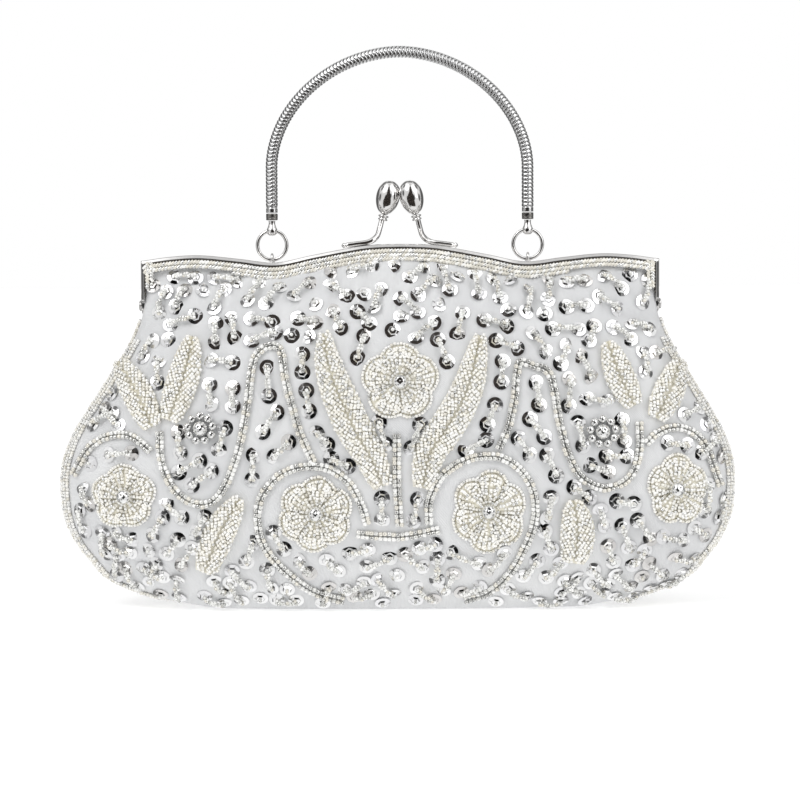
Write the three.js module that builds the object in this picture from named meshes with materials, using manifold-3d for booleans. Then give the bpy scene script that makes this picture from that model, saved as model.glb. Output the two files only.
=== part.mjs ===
import * as THREE from 'three';
import Module from 'manifold-3d';

const wasm = await Module();
wasm.setup();

// Millimetres. X right, Y away from the front face, Z up; z = 0 is the flat underside.

// Bag outline: height, half-width and half-depth of the satin body.
const STATIONS = [
  [0, 74, 10],
  [4, 92, 14],
  [10, 108.5, 18.5],
  [20, 119.5, 23.5],
  [32, 127, 27],
  [44, 129.3, 28.7],
  [56, 128.8, 29.3],
  [66, 125.5, 29.3],
  [76, 119.8, 28.6],
  [88, 112.3, 26.8],
  [100, 104.8, 23.8],
  [110, 100.3, 20],
  [117, 98.5, 16.5],
  [123, 97.5, 13],
];
const WIDEST_Z = 44;
const SECTION_POWER = 2.3;
const AROUND = 32;
const GAP = 0.3;
const PANEL_THICK = 1.2;
const SKIN_THICK = 0.8;
const REAR_SKIN_THICK = 2.2;
const SEAM_HALF_WIDTH = 1.6;
const PANEL_TOP = 117;
const PANEL_SIDE_TOP = 113.2;
const PANEL_TOP_HALF_WIDTH = 80;
const LINING_BOTTOM = 2.9;
const LINING_TOP = 112;
const SKIN_LOW = 3;

// Seam piping.
const PIPING_R = 1.2;
const PIPING_TOP = 111.5;

// Frame outline from the centre to the right corner.
const FRAME_TOP = [
  [0, 139.6],
  [12, 139.2],
  [22, 137.5],
  [34, 135.2],
  [48, 133.0],
  [62, 134.2],
  [76.5, 135.2],
  [88, 134.6],
  [99.5, 133.0],
];
const TOP_STEPS = 28;
const FRAME_HALF_WIDTH = 99.5;
const FRAME_NEAR = 0.3;
const FRAME_FAR = 5.9;
const FRAME_WALL = 0.9;
const LIP_THICK = 0.8;
const OUTER_LIP = 1.7;
const INNER_LIP = 4.5;
const ARM_BOTTOM = 118;
const ARM_CLEAR_TOP = 121.5;

// Hinge of the two frame halves.
const HINGE_Z = 117;
const EAR_R = 3.2;
const EAR_HOLE_R = 1.4;
const EAR_THICK = 0.9;
const EAR_INNER_X = 97.4;
const STRAP_NEAR = 0.8;
const STRAP_FAR = 5.1;
const RIVET_R = 1.1;
const RIVET_HEAD_R = 2.1;

// Cords and bead rows carried by each frame half.
const CORD_DEPTH = 2.6;
const CORD_R = 0.5;
const ROPE_DEPTHS = [4.5, 6.5];
const ROPE_R = 1.1;
const ROPE_Y = 6.0;
const ROPE_END_Z = 121;
const GATHER_NEAR = 3.2;
const GATHER_FAR = 4.2;
const GATHER_DEPTH = 1.3;
const GATHER_HALF_WIDTH = 94;
const GATHER_BOTTOM = 117.5;

// Kiss-lock clasp.
const BALL_X = 4.575;
const BALL_Z = 158.2;
const BALL_SEMI_AXES = [4.34, 4.4, 6.8];
const BALL_TILT = 13;
const BALL_LEAN_Y = 1.5;
const STEM_R = 1.05;
const COLLAR_R = 1.7;
const STEM_PATH = [
  [6.75, 149.6],
  [8.6, 143.6],
  [11.4, 141.4],
  [22.2, 139.7],
];
const STEM_FOOT_X = 11.8;
const FRAME_CENTRE_Y = 3.1;

// Lugs, rings and handle.
const RING_X = 49.4;
const RING_MEAN_R = 5.65;
const RING_WIRE_R = 0.7;
const RING_PIVOT_Z = 134.45;
const LUG_WIRE_R = 0.5;
const LUG_ARCH_R = 1.75;
const LUG_ARCH_Z = 134.9;
const LUG_FOOT_Z = 130.4;
const LUG_HOLE_R = 0.8;
const BALL_END_R = 2.1;
const BALL_END_HOLE_R = 1.25;
const FERRULE_R = 2.25;
const FERRULE_Z = [149.7, 152.3];
const NECK_R = 1.3;
const CHAIN_R = 2.3;
const ARCH_Z = 170;
const ARCH_A = 49.4;
const ARCH_B = 44.3;
const ARCH_POWER = 1.9;

// Raised beadwork: how far each piece stands off the satin.
const MOTIF_THICK = 1.3;
const MOTIF_LIFT = GAP + SKIN_THICK + GAP + 0.1;
const FLOWERS = [
  ['centre', 0, 87.1, 15],
  ['lower_left', -33.2, 36.1, 14.8],
  ['lower_right', 33.8, 36.6, 14.8],
  ['outer_left', -107.2, 43.2, 12.6],
  ['outer_right', 106.8, 45, 12.6],
];
const FLOWER_BEAD_R = 2.3;
const FLOWER_EYE_R = 3;
// Leaves: name, stalk end, tip, half-width, and how far the spine bows to its left.
const LEAVES = [
  ['centre_left', [-7, 46.5], [-29, 106.5], 6.4, 4],
  ['centre_right', [8, 45.5], [31, 105.5], 6.4, -3.5],
  ['upper_left_outer', [-96, 71.5], [-109, 95.5], 5.6, 0],
  ['upper_left_inner', [-89.5, 73], [-80.5, 105], 5.8, 0],
  ['upper_right_outer', [99, 73.5], [108, 94.5], 5.6, 0],
  ['upper_right_inner', [90.5, 77.5], [80, 102.5], 5.6, 0],
  ['lower_left', [-76, 14], [-62.5, 42.5], 6, 0],
  ['lower_right', [66.8, 16], [66.8, 41.5], 6.6, 0],
];
const BALL_FLOWERS = [
  ['left', -77.6, 69.4],
  ['right', 78.1, 67.5],
];
const LEAF_CLEARANCE = 0.4;
const BALL_FLOWER_R = 6.6;
const BALL_FLOWER_CORE_R = 2.8;
const BALL_FLOWER_PETAL_R = 1.6;
const BALL_FLOWER_PETALS = 9;
const BALL_FLOWER_RING_R = 4.9;

// Double bead lines, each a smooth path over the front.
const SCROLL_R = 1.3;
const SCROLL_CLEARANCE = 0.6;
const SCROLL_RISE = 1.1;
const SCROLLS = [
  ['left_outer', [[-127.5, 51], [-121.8, 60.7], [-115, 66], [-104, 66.3], [-97, 60.8]]],
  ['left_middle', [[-93.3, 68], [-92.8, 57], [-87.5, 45], [-77.5, 40], [-69, 46], [-62.4, 62.7],
    [-57.5, 92], [-51, 101.3], [-46, 98], [-42, 78], [-37, 62.5]]],
  ['left_inner', [[-13, 31.7], [-18, 45], [-29, 53.8], [-43, 53], [-54, 43], [-54.3, 26],
    [-43, 12], [-24, 1.8]]],
  ['right_inner', [[10.8, 31.7], [13, 46], [23, 56], [37, 58], [49, 49.5], [51.5, 32], [43, 14],
    [25, 1.8]]],
  ['right_middle', [[38.5, 64], [43.5, 78], [46, 94.5], [56.5, 90.8], [60, 78], [65, 58],
    [74, 46.8], [84.5, 46.8], [91.5, 57], [92.3, 71]]],
  ['right_outer', [[95.5, 63], [102.5, 68.5], [112, 67.5], [119.5, 58], [123.8, 46.5]]],
  ['stem', [[-0.8, 31.5], [-1, 48], [-1.5, 66]]],
  ['foot', [[-17, 28.3], [0, 26.6], [14.5, 29.6]]],
];

const satin = () => new THREE.MeshStandardMaterial({ color: 0xe6e8ec, roughness: 0.45 });
const lining = () => new THREE.MeshStandardMaterial({ color: 0xdfe1e6, roughness: 0.6 });
const beads = () => new THREE.MeshStandardMaterial({ color: 0xe9e4d8, roughness: 0.25 });
const sequins = () => new THREE.MeshStandardMaterial({ color: 0xd5d7da, metalness: 1, roughness: 0.2 });
const chrome = () => new THREE.MeshStandardMaterial({ color: 0xd0d2d5, metalness: 1, roughness: 0.1 });
const nickel = () => new THREE.MeshStandardMaterial({ color: 0x8b8c90, metalness: 1, roughness: 0.3 });

const bag = new THREE.Group();

function addNode(name, solid, material) {
  const mesh = new THREE.Mesh(solid.isBufferGeometry ? solid : toGeometry(solid), material);
  mesh.name = name;
  bag.add(mesh);
}

// Joins vertices that share a position, which a closed solid needs.
function weld(geometry) {
  const source = geometry.index ? geometry.toNonIndexed() : geometry;
  const position = source.attributes.position;
  const seen = new Map();
  const points = [];
  const triangles = [];
  const corner = [0, 0, 0];
  for (let i = 0; i < position.count; i += 1) {
    const p = [position.getX(i), position.getY(i), position.getZ(i)];
    const key = p.map((value) => Math.round(value * 1e4)).join(',');
    if (!seen.has(key)) {
      seen.set(key, points.length / 3);
      points.push(...p);
    }
    corner[i % 3] = seen.get(key);
    const flat = corner[0] === corner[1] || corner[1] === corner[2] || corner[2] === corner[0];
    if (i % 3 === 2 && !flat) {
      triangles.push(...corner);
    }
  }
  return { points, triangles };
}

function toSolid(geometry) {
  const { points, triangles } = weld(geometry);
  const mesh = new wasm.Mesh({
    numProp: 3,
    vertProperties: new Float32Array(points),
    triVerts: new Uint32Array(triangles),
  });
  const solid = new wasm.Manifold(mesh);
  return solid.volume() < 0 ? toSolid(flipped(geometry)) : solid;
}

function flipped(geometry) {
  const source = geometry.index ? geometry.toNonIndexed() : geometry.clone();
  const array = source.attributes.position.array;
  for (let i = 0; i < array.length; i += 9) {
    for (let axis = 0; axis < 3; axis += 1) {
      const kept = array[i + 3 + axis];
      array[i + 3 + axis] = array[i + 6 + axis];
      array[i + 6 + axis] = kept;
    }
  }
  return source;
}

function toGeometry(solid) {
  const mesh = solid.getMesh();
  const geometry = new THREE.BufferGeometry();
  geometry.setAttribute('position', new THREE.BufferAttribute(mesh.vertProperties, 3));
  geometry.setIndex(new THREE.BufferAttribute(mesh.triVerts, 1));
  geometry.computeVertexNormals();
  return geometry;
}

function box(low, high) {
  const size = high.map((value, axis) => value - low[axis]);
  const geometry = new THREE.BoxGeometry(...size);
  geometry.translate(...high.map((value, axis) => (value + low[axis]) / 2));
  return toSolid(geometry);
}

function cylinderX(radius, x0, x1, y, z, sides = 20) {
  const geometry = new THREE.CylinderGeometry(radius, radius, x1 - x0, sides);
  geometry.rotateZ(Math.PI / 2);
  geometry.translate((x0 + x1) / 2, y, z);
  return toSolid(geometry);
}

function cylinderZ(radius, z0, z1, x, y, sides = 16) {
  const geometry = new THREE.CylinderGeometry(radius, radius, z1 - z0, sides);
  geometry.rotateX(Math.PI / 2);
  geometry.translate(x, y, (z0 + z1) / 2);
  return toSolid(geometry);
}

// A plate drawn in X and Z and given its thickness along Y.
function plate(outline, y0, y1) {
  const shape = new THREE.Shape(outline.map(([x, z]) => new THREE.Vector2(x, z)));
  const geometry = new THREE.ExtrudeGeometry(shape, { depth: y1 - y0, bevelEnabled: false });
  geometry.rotateX(Math.PI / 2);
  geometry.translate(0, y1, 0);
  return toSolid(geometry);
}

function tube(points, radius, sides, steps) {
  const path = new THREE.CatmullRomCurve3(points.map((p) => new THREE.Vector3(...p)));
  return tubeOn(path, radius, sides, steps);
}

function tubeOn(path, radius, sides, steps) {
  const ring = [];
  for (let i = 0; i < sides; i += 1) {
    const angle = (2 * Math.PI * i) / sides;
    ring.push(new THREE.Vector2(radius * Math.cos(angle), radius * Math.sin(angle)));
  }
  const shape = new THREE.Shape(ring);
  return toSolid(new THREE.ExtrudeGeometry(shape, { steps, extrudePath: path }));
}

function mirrorX(points) {
  return points.map(([x, ...rest]) => [-x, ...rest]);
}

function signedPower(value, power) {
  return Math.sign(value) * Math.abs(value) ** power;
}

// Half-width and half-depth of the satin at a height.
function outlineAt(z) {
  const last = STATIONS.length - 1;
  let i = 0;
  while (i < last - 1 && z > STATIONS[i + 1][0]) {
    i += 1;
  }
  const [z0, w0, h0] = STATIONS[i];
  const [z1, w1, h1] = STATIONS[i + 1];
  const t = (z - z0) / (z1 - z0);
  return [w0 + (w1 - w0) * t, h0 + (h1 - h0) * t];
}

// The bag's full body, shrunk all round by inset, between two heights.
function bagBody(inset, low, high) {
  const profile = [new THREE.Vector2(0, 0)];
  STATIONS.forEach(([z]) => profile.push(new THREE.Vector2(1, z)));
  profile.push(new THREE.Vector2(0, STATIONS.at(-1)[0]));
  const geometry = new THREE.LatheGeometry(profile, AROUND);
  const position = geometry.attributes.position;
  const power = 2 / SECTION_POWER;
  for (let i = 0; i < position.count; i += 1) {
    const z = position.getY(i);
    const [halfWidth, halfDepth] = outlineAt(z);
    const x = signedPower(position.getX(i), power) * (halfWidth - inset);
    const y = signedPower(position.getZ(i), power) * (halfDepth - inset);
    const onAxis = Math.hypot(position.getX(i), position.getZ(i)) < 0.5;
    const raise = inset * Math.max(0, 1 - z / WIDEST_Z);
    position.setXYZ(i, onAxis ? 0 : x, onAxis ? 0 : y, z + raise);
  }
  const far = 200;
  return toSolid(geometry).intersect(box([-far, -far, low], [far, far, high]));
}

// An open-topped vessel following the bag's outline.
function vessel(inset, thickness, bottom, top) {
  const outside = bagBody(inset, bottom, top);
  const inside = bagBody(inset + thickness, bottom + thickness, top + 3);
  return outside.subtract(inside);
}

// The front (side -1) or rear (side 1) half, clear of the seam.
function halfOf(solid, side) {
  const far = 200;
  const [near, back] = [side * SEAM_HALF_WIDTH, side * far].sort((a, b) => a - b);
  return solid.intersect(box([-far, near, -far], [far, back, far]));
}

// The panels stop lower at the hinge, where the frame's ears turn.
function panelTopTrim() {
  const far = 200;
  return [-1, 1].map((side) => {
    const xs = [side * PANEL_TOP_HALF_WIDTH, side * far].sort((a, b) => a - b);
    return box([xs[0], -far, PANEL_SIDE_TOP], [xs[1], far, far]);
  });
}

function addPanels() {
  const [leftTrim, rightTrim] = panelTopTrim();
  const body = vessel(0, PANEL_THICK, 0, PANEL_TOP).subtract(leftTrim).subtract(rightTrim);
  addNode('front_panel', halfOf(body, -1), satin());
  addNode('rear_panel', halfOf(body, 1), satin());
}

// The sequinned net outside a panel, open over the flat underside.
function sequinField(side, thickness) {
  const outside = bagBody(-(GAP + thickness), SKIN_LOW, PANEL_SIDE_TOP);
  const inside = bagBody(-GAP, SKIN_LOW - 1, PANEL_SIDE_TOP + 1);
  return halfOf(outside.subtract(inside), side);
}

function addSequinFields() {
  addNode('front_sequin_field', sequinField(-1, SKIN_THICK), sequins());
  addNode('rear_sequin_field', sequinField(1, REAR_SKIN_THICK), sequins());
}

function addLining() {
  const inset = PANEL_THICK + GAP;
  addNode('lining_pouch', vessel(inset, SKIN_THICK, LINING_BOTTOM, LINING_TOP), lining());
  const pocketInset = inset + SKIN_THICK + GAP;
  const pocket = vessel(pocketInset, SKIN_THICK, 30, 86);
  const cut = box([-50, 1.5, 32], [50, 60, 120]);
  addNode('slip_pocket', pocket.intersect(cut), lining());
}

function addPiping() {
  const heights = [PIPING_TOP, 100, 88, 76, 66, 56, 44, 32, 20, 10, 4];
  const right = heights.map((z) => [outlineAt(z)[0], 0, z]);
  const bottom = [[76, 0, PIPING_R + 0.2], [50, 0, PIPING_R], [0, 0, PIPING_R]];
  const half = [...right, ...bottom];
  const left = mirrorX(half.slice(0, -1)).reverse();
  addNode('seam_piping', tube([...half, ...left], PIPING_R, 5, 46), beads());
}

// Depth of the front at a point of it, on a surface lifted off the satin.
function frontY(x, z, lift) {
  const [halfWidth, halfDepth] = outlineAt(z).map((value) => value + lift);
  const across = Math.min(Math.abs(x) / halfWidth, 0.985);
  return -halfDepth * (1 - across ** SECTION_POWER) ** (1 / SECTION_POWER);
}

// A raised pad that follows the front: shape() gives its outline around the centre.
function pad(outline, segments, thickness, lift) {
  const profile = [
    [0, 0],
    [0.5, 0],
    [1, 0],
    [1, 0.7],
    [0.5, 1],
    [0, 1],
  ].map(([r, h]) => new THREE.Vector2(r, h));
  const geometry = new THREE.LatheGeometry(profile, segments);
  const position = geometry.attributes.position;
  for (let i = 0; i < position.count; i += 1) {
    const across = position.getX(i);
    const along = position.getZ(i);
    const radius = Math.hypot(across, along);
    const [x, z] = outline(Math.atan2(along, across), radius);
    const y = frontY(x, z, lift) - position.getY(i) * thickness;
    position.setXYZ(i, x, y, z);
  }
  return toSolid(geometry);
}

function flowerOutline(cx, cz, reach) {
  return (angle, radius) => {
    const lobe = 1 - 0.08 * (1 + Math.cos(5 * angle + Math.PI)) * radius;
    return [cx + reach * radius * lobe * Math.cos(angle), cz + reach * radius * lobe * Math.sin(angle)];
  };
}

function leafOutline([x0, z0], [x1, z1], halfWidth, bow) {
  const half = Math.hypot(x1 - x0, z1 - z0) / 2;
  const along = [(x1 - x0) / (2 * half), (z1 - z0) / (2 * half)];
  return (angle, radius) => {
    const a = half * radius * Math.cos(angle);
    const taper = 1 - 0.25 * Math.cos(angle) * radius;
    const spine = bow * (1 - (radius * Math.cos(angle)) ** 2);
    const b = halfWidth * radius * Math.sin(angle) * taper + spine;
    const x = (x0 + x1) / 2 + a * along[0] - b * along[1];
    const z = (z0 + z1) / 2 + a * along[1] + b * along[0];
    return [x, z];
  };
}

function ballOnFront(x, z, radius, segments, lift) {
  const geometry = new THREE.SphereGeometry(radius, segments, Math.ceil(segments / 2) + 1);
  geometry.translate(x, frontY(x, z, lift) - radius, z);
  return toSolid(geometry);
}

// Each flower's petals leave a round eye, in which its ball is sewn.
function addFlowers() {
  FLOWERS.forEach(([name, x, z, reach]) => {
    const eye = new THREE.CylinderGeometry(FLOWER_EYE_R, FLOWER_EYE_R, 80, 14);
    eye.translate(x, -40, z);
    const petals = pad(flowerOutline(x, z, reach), 20, MOTIF_THICK, MOTIF_LIFT).subtract(toSolid(eye));
    addNode(`flower_${name}`, petals, beads());
    addNode(`flower_${name}_ball`, ballOnFront(x, z, FLOWER_BEAD_R, 8, MOTIF_LIFT), chrome());
  });
}

function addLeaves() {
  LEAVES.forEach(([name, stalk, tip, halfWidth, bow]) => {
    const outline = leafOutline(stalk, tip, halfWidth, bow);
    addNode(`leaf_${name}`, pad(outline, 14, MOTIF_THICK, MOTIF_LIFT + LEAF_CLEARANCE), beads());
  });
}

function addBallFlowers() {
  BALL_FLOWERS.forEach(([name, x, z]) => {
    let flower = pad(flowerOutline(x, z, BALL_FLOWER_R), 12, 0.8, MOTIF_LIFT);
    flower = flower.add(ballOnFront(x, z, BALL_FLOWER_CORE_R, 8, MOTIF_LIFT + 0.3));
    for (let i = 0; i < BALL_FLOWER_PETALS; i += 1) {
      const angle = (2 * Math.PI * i) / BALL_FLOWER_PETALS;
      const px = x + BALL_FLOWER_RING_R * Math.cos(angle);
      const pz = z + BALL_FLOWER_RING_R * Math.sin(angle);
      flower = flower.add(ballOnFront(px, pz, BALL_FLOWER_PETAL_R, 6, MOTIF_LIFT + 0.2));
    }
    addNode(`ball_flower_${name}`, flower, chrome());
  });
}

function insideMotif(x, z) {
  const reach = SCROLL_R + SCROLL_CLEARANCE;
  const inFlower = FLOWERS.some(([, cx, cz, r]) => Math.hypot(x - cx, z - cz) < r + reach);
  const inBalls = BALL_FLOWERS.some(([, cx, cz]) => Math.hypot(x - cx, z - cz) < BALL_FLOWER_R + reach);
  const inLeaf = LEAVES.some(([, [x0, z0], [x1, z1], halfWidth, bow]) => {
    const length = Math.hypot(x1 - x0, z1 - z0);
    const along = ((x - x0) * (x1 - x0) + (z - z0) * (z1 - z0)) / length;
    const place = Math.min(Math.max(along / length, 0), 1);
    const spine = bow * (1 - (2 * place - 1) ** 2);
    const left = ((z - z0) * (x1 - x0) - (x - x0) * (z1 - z0)) / length;
    const across = Math.abs(left - spine);
    const spread = Math.sin(Math.PI * place) * halfWidth;
    return along > -reach && along < length + reach && across < spread * 1.3 + reach;
  });
  return inFlower || inBalls || inLeaf;
}

// The longest stretch of a scroll that no motif covers.
function clearStretch(points) {
  let best = [];
  let run = [];
  points.forEach((point) => {
    run = insideMotif(point.x, point.y) ? [] : [...run, point];
    best = run.length > best.length ? run : best;
  });
  return best;
}

function addScrolls() {
  SCROLLS.forEach(([name, line]) => {
    const flat = new THREE.SplineCurve(line.map(([x, z]) => new THREE.Vector2(x, z)));
    const stretch = clearStretch(flat.getPoints(48));
    const lifted = stretch.map(({ x, y }) => [x, frontY(x, y, MOTIF_LIFT + SCROLL_R + SCROLL_RISE), y]);
    addNode(`scroll_${name}`, tube(lifted, SCROLL_R, 5, Math.ceil(lifted.length / 2)), beads());
  });
}

// The frame's outline from the foot of one arm, over the top, to the other, inset by depth.
function frameLine(depth, foot = ARM_BOTTOM) {
  const top = new THREE.SplineCurve(
    [...mirrorX(FRAME_TOP.slice(1)).reverse(), ...FRAME_TOP].map(([x, z]) => new THREE.Vector2(x, z)),
  ).getPoints(TOP_STEPS);
  const arm = FRAME_HALF_WIDTH - depth;
  const across = top.filter(({ x }) => Math.abs(x) < arm - 1.2).map(({ x, y }) => [x, y - depth]);
  const corner = FRAME_TOP.at(-1)[1] - depth;
  return [[-arm, foot], [-arm, corner], ...across, [arm, corner], [arm, foot]];
}

// The band between two insets of the frame's outline.
function frameBand(inner, y0, y1) {
  return plate([...frameLine(0), ...frameLine(inner).reverse()], y0, y1);
}

function between(side, near, far) {
  return side < 0 ? [-far, -near] : [near, far];
}

// One frame half, a channel open downwards. The front half's ears lie outside the rear half's.
function frameHalf(side) {
  const wall = frameBand(FRAME_WALL, ...between(side, FRAME_NEAR, FRAME_FAR));
  const outerLip = frameBand(OUTER_LIP, ...between(side, FRAME_FAR - LIP_THICK, FRAME_FAR));
  const innerLip = frameBand(INNER_LIP, ...between(side, FRAME_NEAR, FRAME_NEAR + LIP_THICK));
  let half = wall.add(outerLip).add(innerLip);
  const earX = side < 0 ? FRAME_HALF_WIDTH - EAR_THICK : EAR_INNER_X;
  const strap = between(side, STRAP_NEAR, STRAP_FAR);
  [-1, 1].forEach((hand) => {
    const span = (a, b) => [hand * a, hand * b].sort((p, q) => p - q);
    const [armLow, armHigh] = side < 0
      ? span(FRAME_HALF_WIDTH - INNER_LIP - 1, FRAME_HALF_WIDTH - EAR_THICK)
      : span(FRAME_HALF_WIDTH - INNER_LIP - 1, FRAME_HALF_WIDTH + 1);
    half = half.subtract(box([armLow, -8, ARM_BOTTOM - 2], [armHigh, 8, ARM_CLEAR_TOP]));
    const [x0, x1] = span(earX, earX + EAR_THICK);
    const ear = cylinderX(EAR_R, x0, x1, 0, HINGE_Z, 24);
    const strapPlate = box([x0, strap[0], HINGE_Z], [x1, strap[1], ARM_CLEAR_TOP + 2]);
    half = half.add(ear).add(strapPlate);
    if (side > 0) {
      const [j0, j1] = span(EAR_INNER_X, FRAME_HALF_WIDTH);
      half = half.add(box([j0, strap[0], ARM_CLEAR_TOP], [j1, strap[1], ARM_CLEAR_TOP + 2]));
    }
    half = half.subtract(cylinderX(EAR_HOLE_R, hand * 98 - 4, hand * 98 + 4, 0, HINGE_Z, 20));
  });
  return half;
}

function addFrameHalf(name, side) {
  let half = frameHalf(side);
  if (side > 0) {
    lugLegs().forEach(([x, y]) => {
      half = half.subtract(cylinderZ(LUG_HOLE_R, LUG_FOOT_Z - 3, LUG_ARCH_Z + 2, x, y));
    });
  }
  addNode(`${name}_frame_channel`, half, chrome());
}

function lineOn(depth, y, foot) {
  return frameLine(depth, foot).map(([x, z]) => [x, y, z]);
}

function addFrameBeads(name, side) {
  const y = side * ROPE_Y;
  addNode(`${name}_twist_cord`, roundedTube(lineOn(CORD_DEPTH, y, ROPE_END_Z), CORD_R), nickel());
  const rows = ROPE_DEPTHS.map((depth) => roundedTube(lineOn(depth, y, ROPE_END_Z), ROPE_R));
  addNode(`${name}_bead_rope`, rows[0].add(rows[1]), beads());
}

// A tube whose path follows the frame's line closely round its corners.
function roundedTube(points, radius) {
  const corners = points.map((p) => new THREE.Vector3(...p));
  return tubeOn(new THREE.CatmullRomCurve3(corners, false, 'centripetal'), radius, 5, 32);
}

function addGather(name, side) {
  const top = frameLine(GATHER_DEPTH).filter(([x]) => Math.abs(x) < GATHER_HALF_WIDTH - 0.5);
  const corner = FRAME_TOP.at(-1)[1] - GATHER_DEPTH;
  const outline = [
    [-GATHER_HALF_WIDTH, GATHER_BOTTOM],
    [-GATHER_HALF_WIDTH, corner],
    ...top,
    [GATHER_HALF_WIDTH, corner],
    [GATHER_HALF_WIDTH, GATHER_BOTTOM],
  ];
  addNode(`${name}_gather`, plate(outline, ...between(side, GATHER_NEAR, GATHER_FAR)), satin());
}

function addRivets() {
  [['left', -1], ['right', 1]].forEach(([name, hand]) => {
    const reach = (a, b) => [hand * a, hand * b].sort((p, q) => p - q);
    const inner = EAR_INNER_X - GAP;
    const outer = FRAME_HALF_WIDTH + GAP;
    const rivet = cylinderX(RIVET_R, ...reach(inner - 0.5, outer + 0.5), 0, HINGE_Z, 16)
      .add(cylinderX(RIVET_HEAD_R, ...reach(outer, outer + 0.8), 0, HINGE_Z, 16))
      .add(cylinderX(RIVET_HEAD_R, ...reach(inner - 0.8, inner), 0, HINGE_Z, 16));
    addNode(`${name}_hinge_rivet`, rivet, chrome());
  });
}

// One half of the kiss-lock: egg-shaped ball, and a bent stem with its collar.
function addClasp(name, hand, side) {
  const ball = new THREE.SphereGeometry(1, 16, 10);
  ball.rotateX(Math.PI / 2);
  ball.scale(...BALL_SEMI_AXES);
  ball.rotateY(THREE.MathUtils.degToRad(-hand * BALL_TILT));
  ball.translate(hand * BALL_X, -side * BALL_LEAN_Y, BALL_Z);
  addNode(`clasp_${name}_ball`, ball, chrome());
  const low = side * FRAME_CENTRE_Y;
  const lean = [-side * 1.2, -side * 0.2, side * FRAME_CENTRE_Y, low];
  const path = STEM_PATH.map(([x, z], i) => [hand * x, lean[i], z]);
  let stem = tube(path, STEM_R, 8, 12);
  const collar = new THREE.CylinderGeometry(COLLAR_R, COLLAR_R, 1.6, 16);
  collar.rotateX(Math.PI / 2);
  collar.rotateY(THREE.MathUtils.degToRad(-hand * BALL_TILT));
  collar.translate(hand * 6.55, -side * 1.3, 150.3);
  const foot = cylinderZ(0.9, 139.55, 141.6, hand * STEM_FOOT_X, low, 10);
  stem = stem.add(toSolid(collar)).add(foot);
  addNode(`clasp_${name}_stem`, stem, chrome());
}

function lugLegs() {
  const legs = [];
  [-1, 1].forEach((hand) => {
    [-1, 1].forEach((leg) => legs.push([hand * RING_X, FRAME_CENTRE_Y + leg * LUG_ARCH_R]));
  });
  return legs;
}

function addLug(name, hand) {
  const points = [];
  const x = hand * RING_X;
  points.push([x, FRAME_CENTRE_Y - LUG_ARCH_R, LUG_FOOT_Z]);
  for (let i = 0; i <= 6; i += 1) {
    const angle = (Math.PI * i) / 6;
    const y = FRAME_CENTRE_Y - LUG_ARCH_R * Math.cos(angle);
    points.push([x, y, LUG_ARCH_Z + LUG_ARCH_R * Math.sin(angle)]);
  }
  points.push([x, FRAME_CENTRE_Y + LUG_ARCH_R, LUG_FOOT_Z]);
  addNode(`${name}_lug`, tube(points, LUG_WIRE_R, 6, 14), chrome());
}

function addRing(name, hand) {
  const ring = new THREE.TorusGeometry(RING_MEAN_R, RING_WIRE_R, 8, 24);
  ring.rotateX(Math.PI / 2);
  ring.translate(hand * RING_X, FRAME_CENTRE_Y, RING_PIVOT_Z + RING_MEAN_R);
  addNode(`${name}_ring`, toSolid(ring), chrome());
}

// The chain's centre line: straight legs and a slightly full half-ellipse.
function chainPath() {
  const start = FERRULE_Z[1] + GAP;
  const points = [[-RING_X, start], [-RING_X, (start + ARCH_Z) / 2]];
  const steps = 24;
  for (let i = 0; i <= steps; i += 1) {
    const angle = Math.PI * (1 - i / steps);
    const x = ARCH_A * signedPower(Math.cos(angle), 2 / ARCH_POWER);
    const z = ARCH_Z + ARCH_B * signedPower(Math.sin(angle), 2 / ARCH_POWER);
    points.push([x, z]);
  }
  points.push([RING_X, (start + ARCH_Z) / 2], [RING_X, start]);
  return points.map(([x, z]) => [x, FRAME_CENTRE_Y, z]);
}

function addHandle() {
  addNode('handle_chain', tube(chainPath(), CHAIN_R, 8, 44), chrome());
  const ballZ = RING_PIVOT_Z + 2 * RING_MEAN_R;
  [['left', -1], ['right', 1]].forEach(([name, hand]) => {
    const x = hand * RING_X;
    const ferrule = cylinderZ(FERRULE_R, ...FERRULE_Z, x, FRAME_CENTRE_Y);
    addNode(`${name}_ferrule`, ferrule, nickel());
    const ball = new THREE.SphereGeometry(BALL_END_R, 16, 10);
    ball.translate(x, FRAME_CENTRE_Y, ballZ);
    const neck = cylinderZ(NECK_R, ballZ + 1.5, FERRULE_Z[0] - GAP, x, FRAME_CENTRE_Y);
    const hole = cylinderX(BALL_END_HOLE_R, x - 4, x + 4, FRAME_CENTRE_Y, ballZ);
    addNode(`${name}_ball_end`, toSolid(ball).add(neck).subtract(hole), chrome());
  });
}

function addFrames() {
  [['front', -1], ['rear', 1]].forEach(([name, side]) => {
    addFrameHalf(name, side);
    addFrameBeads(name, side);
    addGather(name, side);
  });
  addRivets();
  addClasp('left', -1, -1);
  addClasp('right', 1, 1);
}

addPanels();
addSequinFields();
addLining();
addPiping();
addFlowers();
addLeaves();
addBallFlowers();
addScrolls();
addFrames();
[['left', -1], ['right', 1]].forEach(([name, hand]) => {
  addLug(name, hand);
  addRing(name, hand);
});
addHandle();

export default bag;
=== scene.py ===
"""An evening bag: satin, beads and sequins on a hinged kiss-lock frame with a snake chain handle.

Lengths are millimetres in the CAD frame until a mesh is made. X runs to the right, Y to the
back and Z up, and the bag stands on Z = 0.
"""

import math

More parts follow.
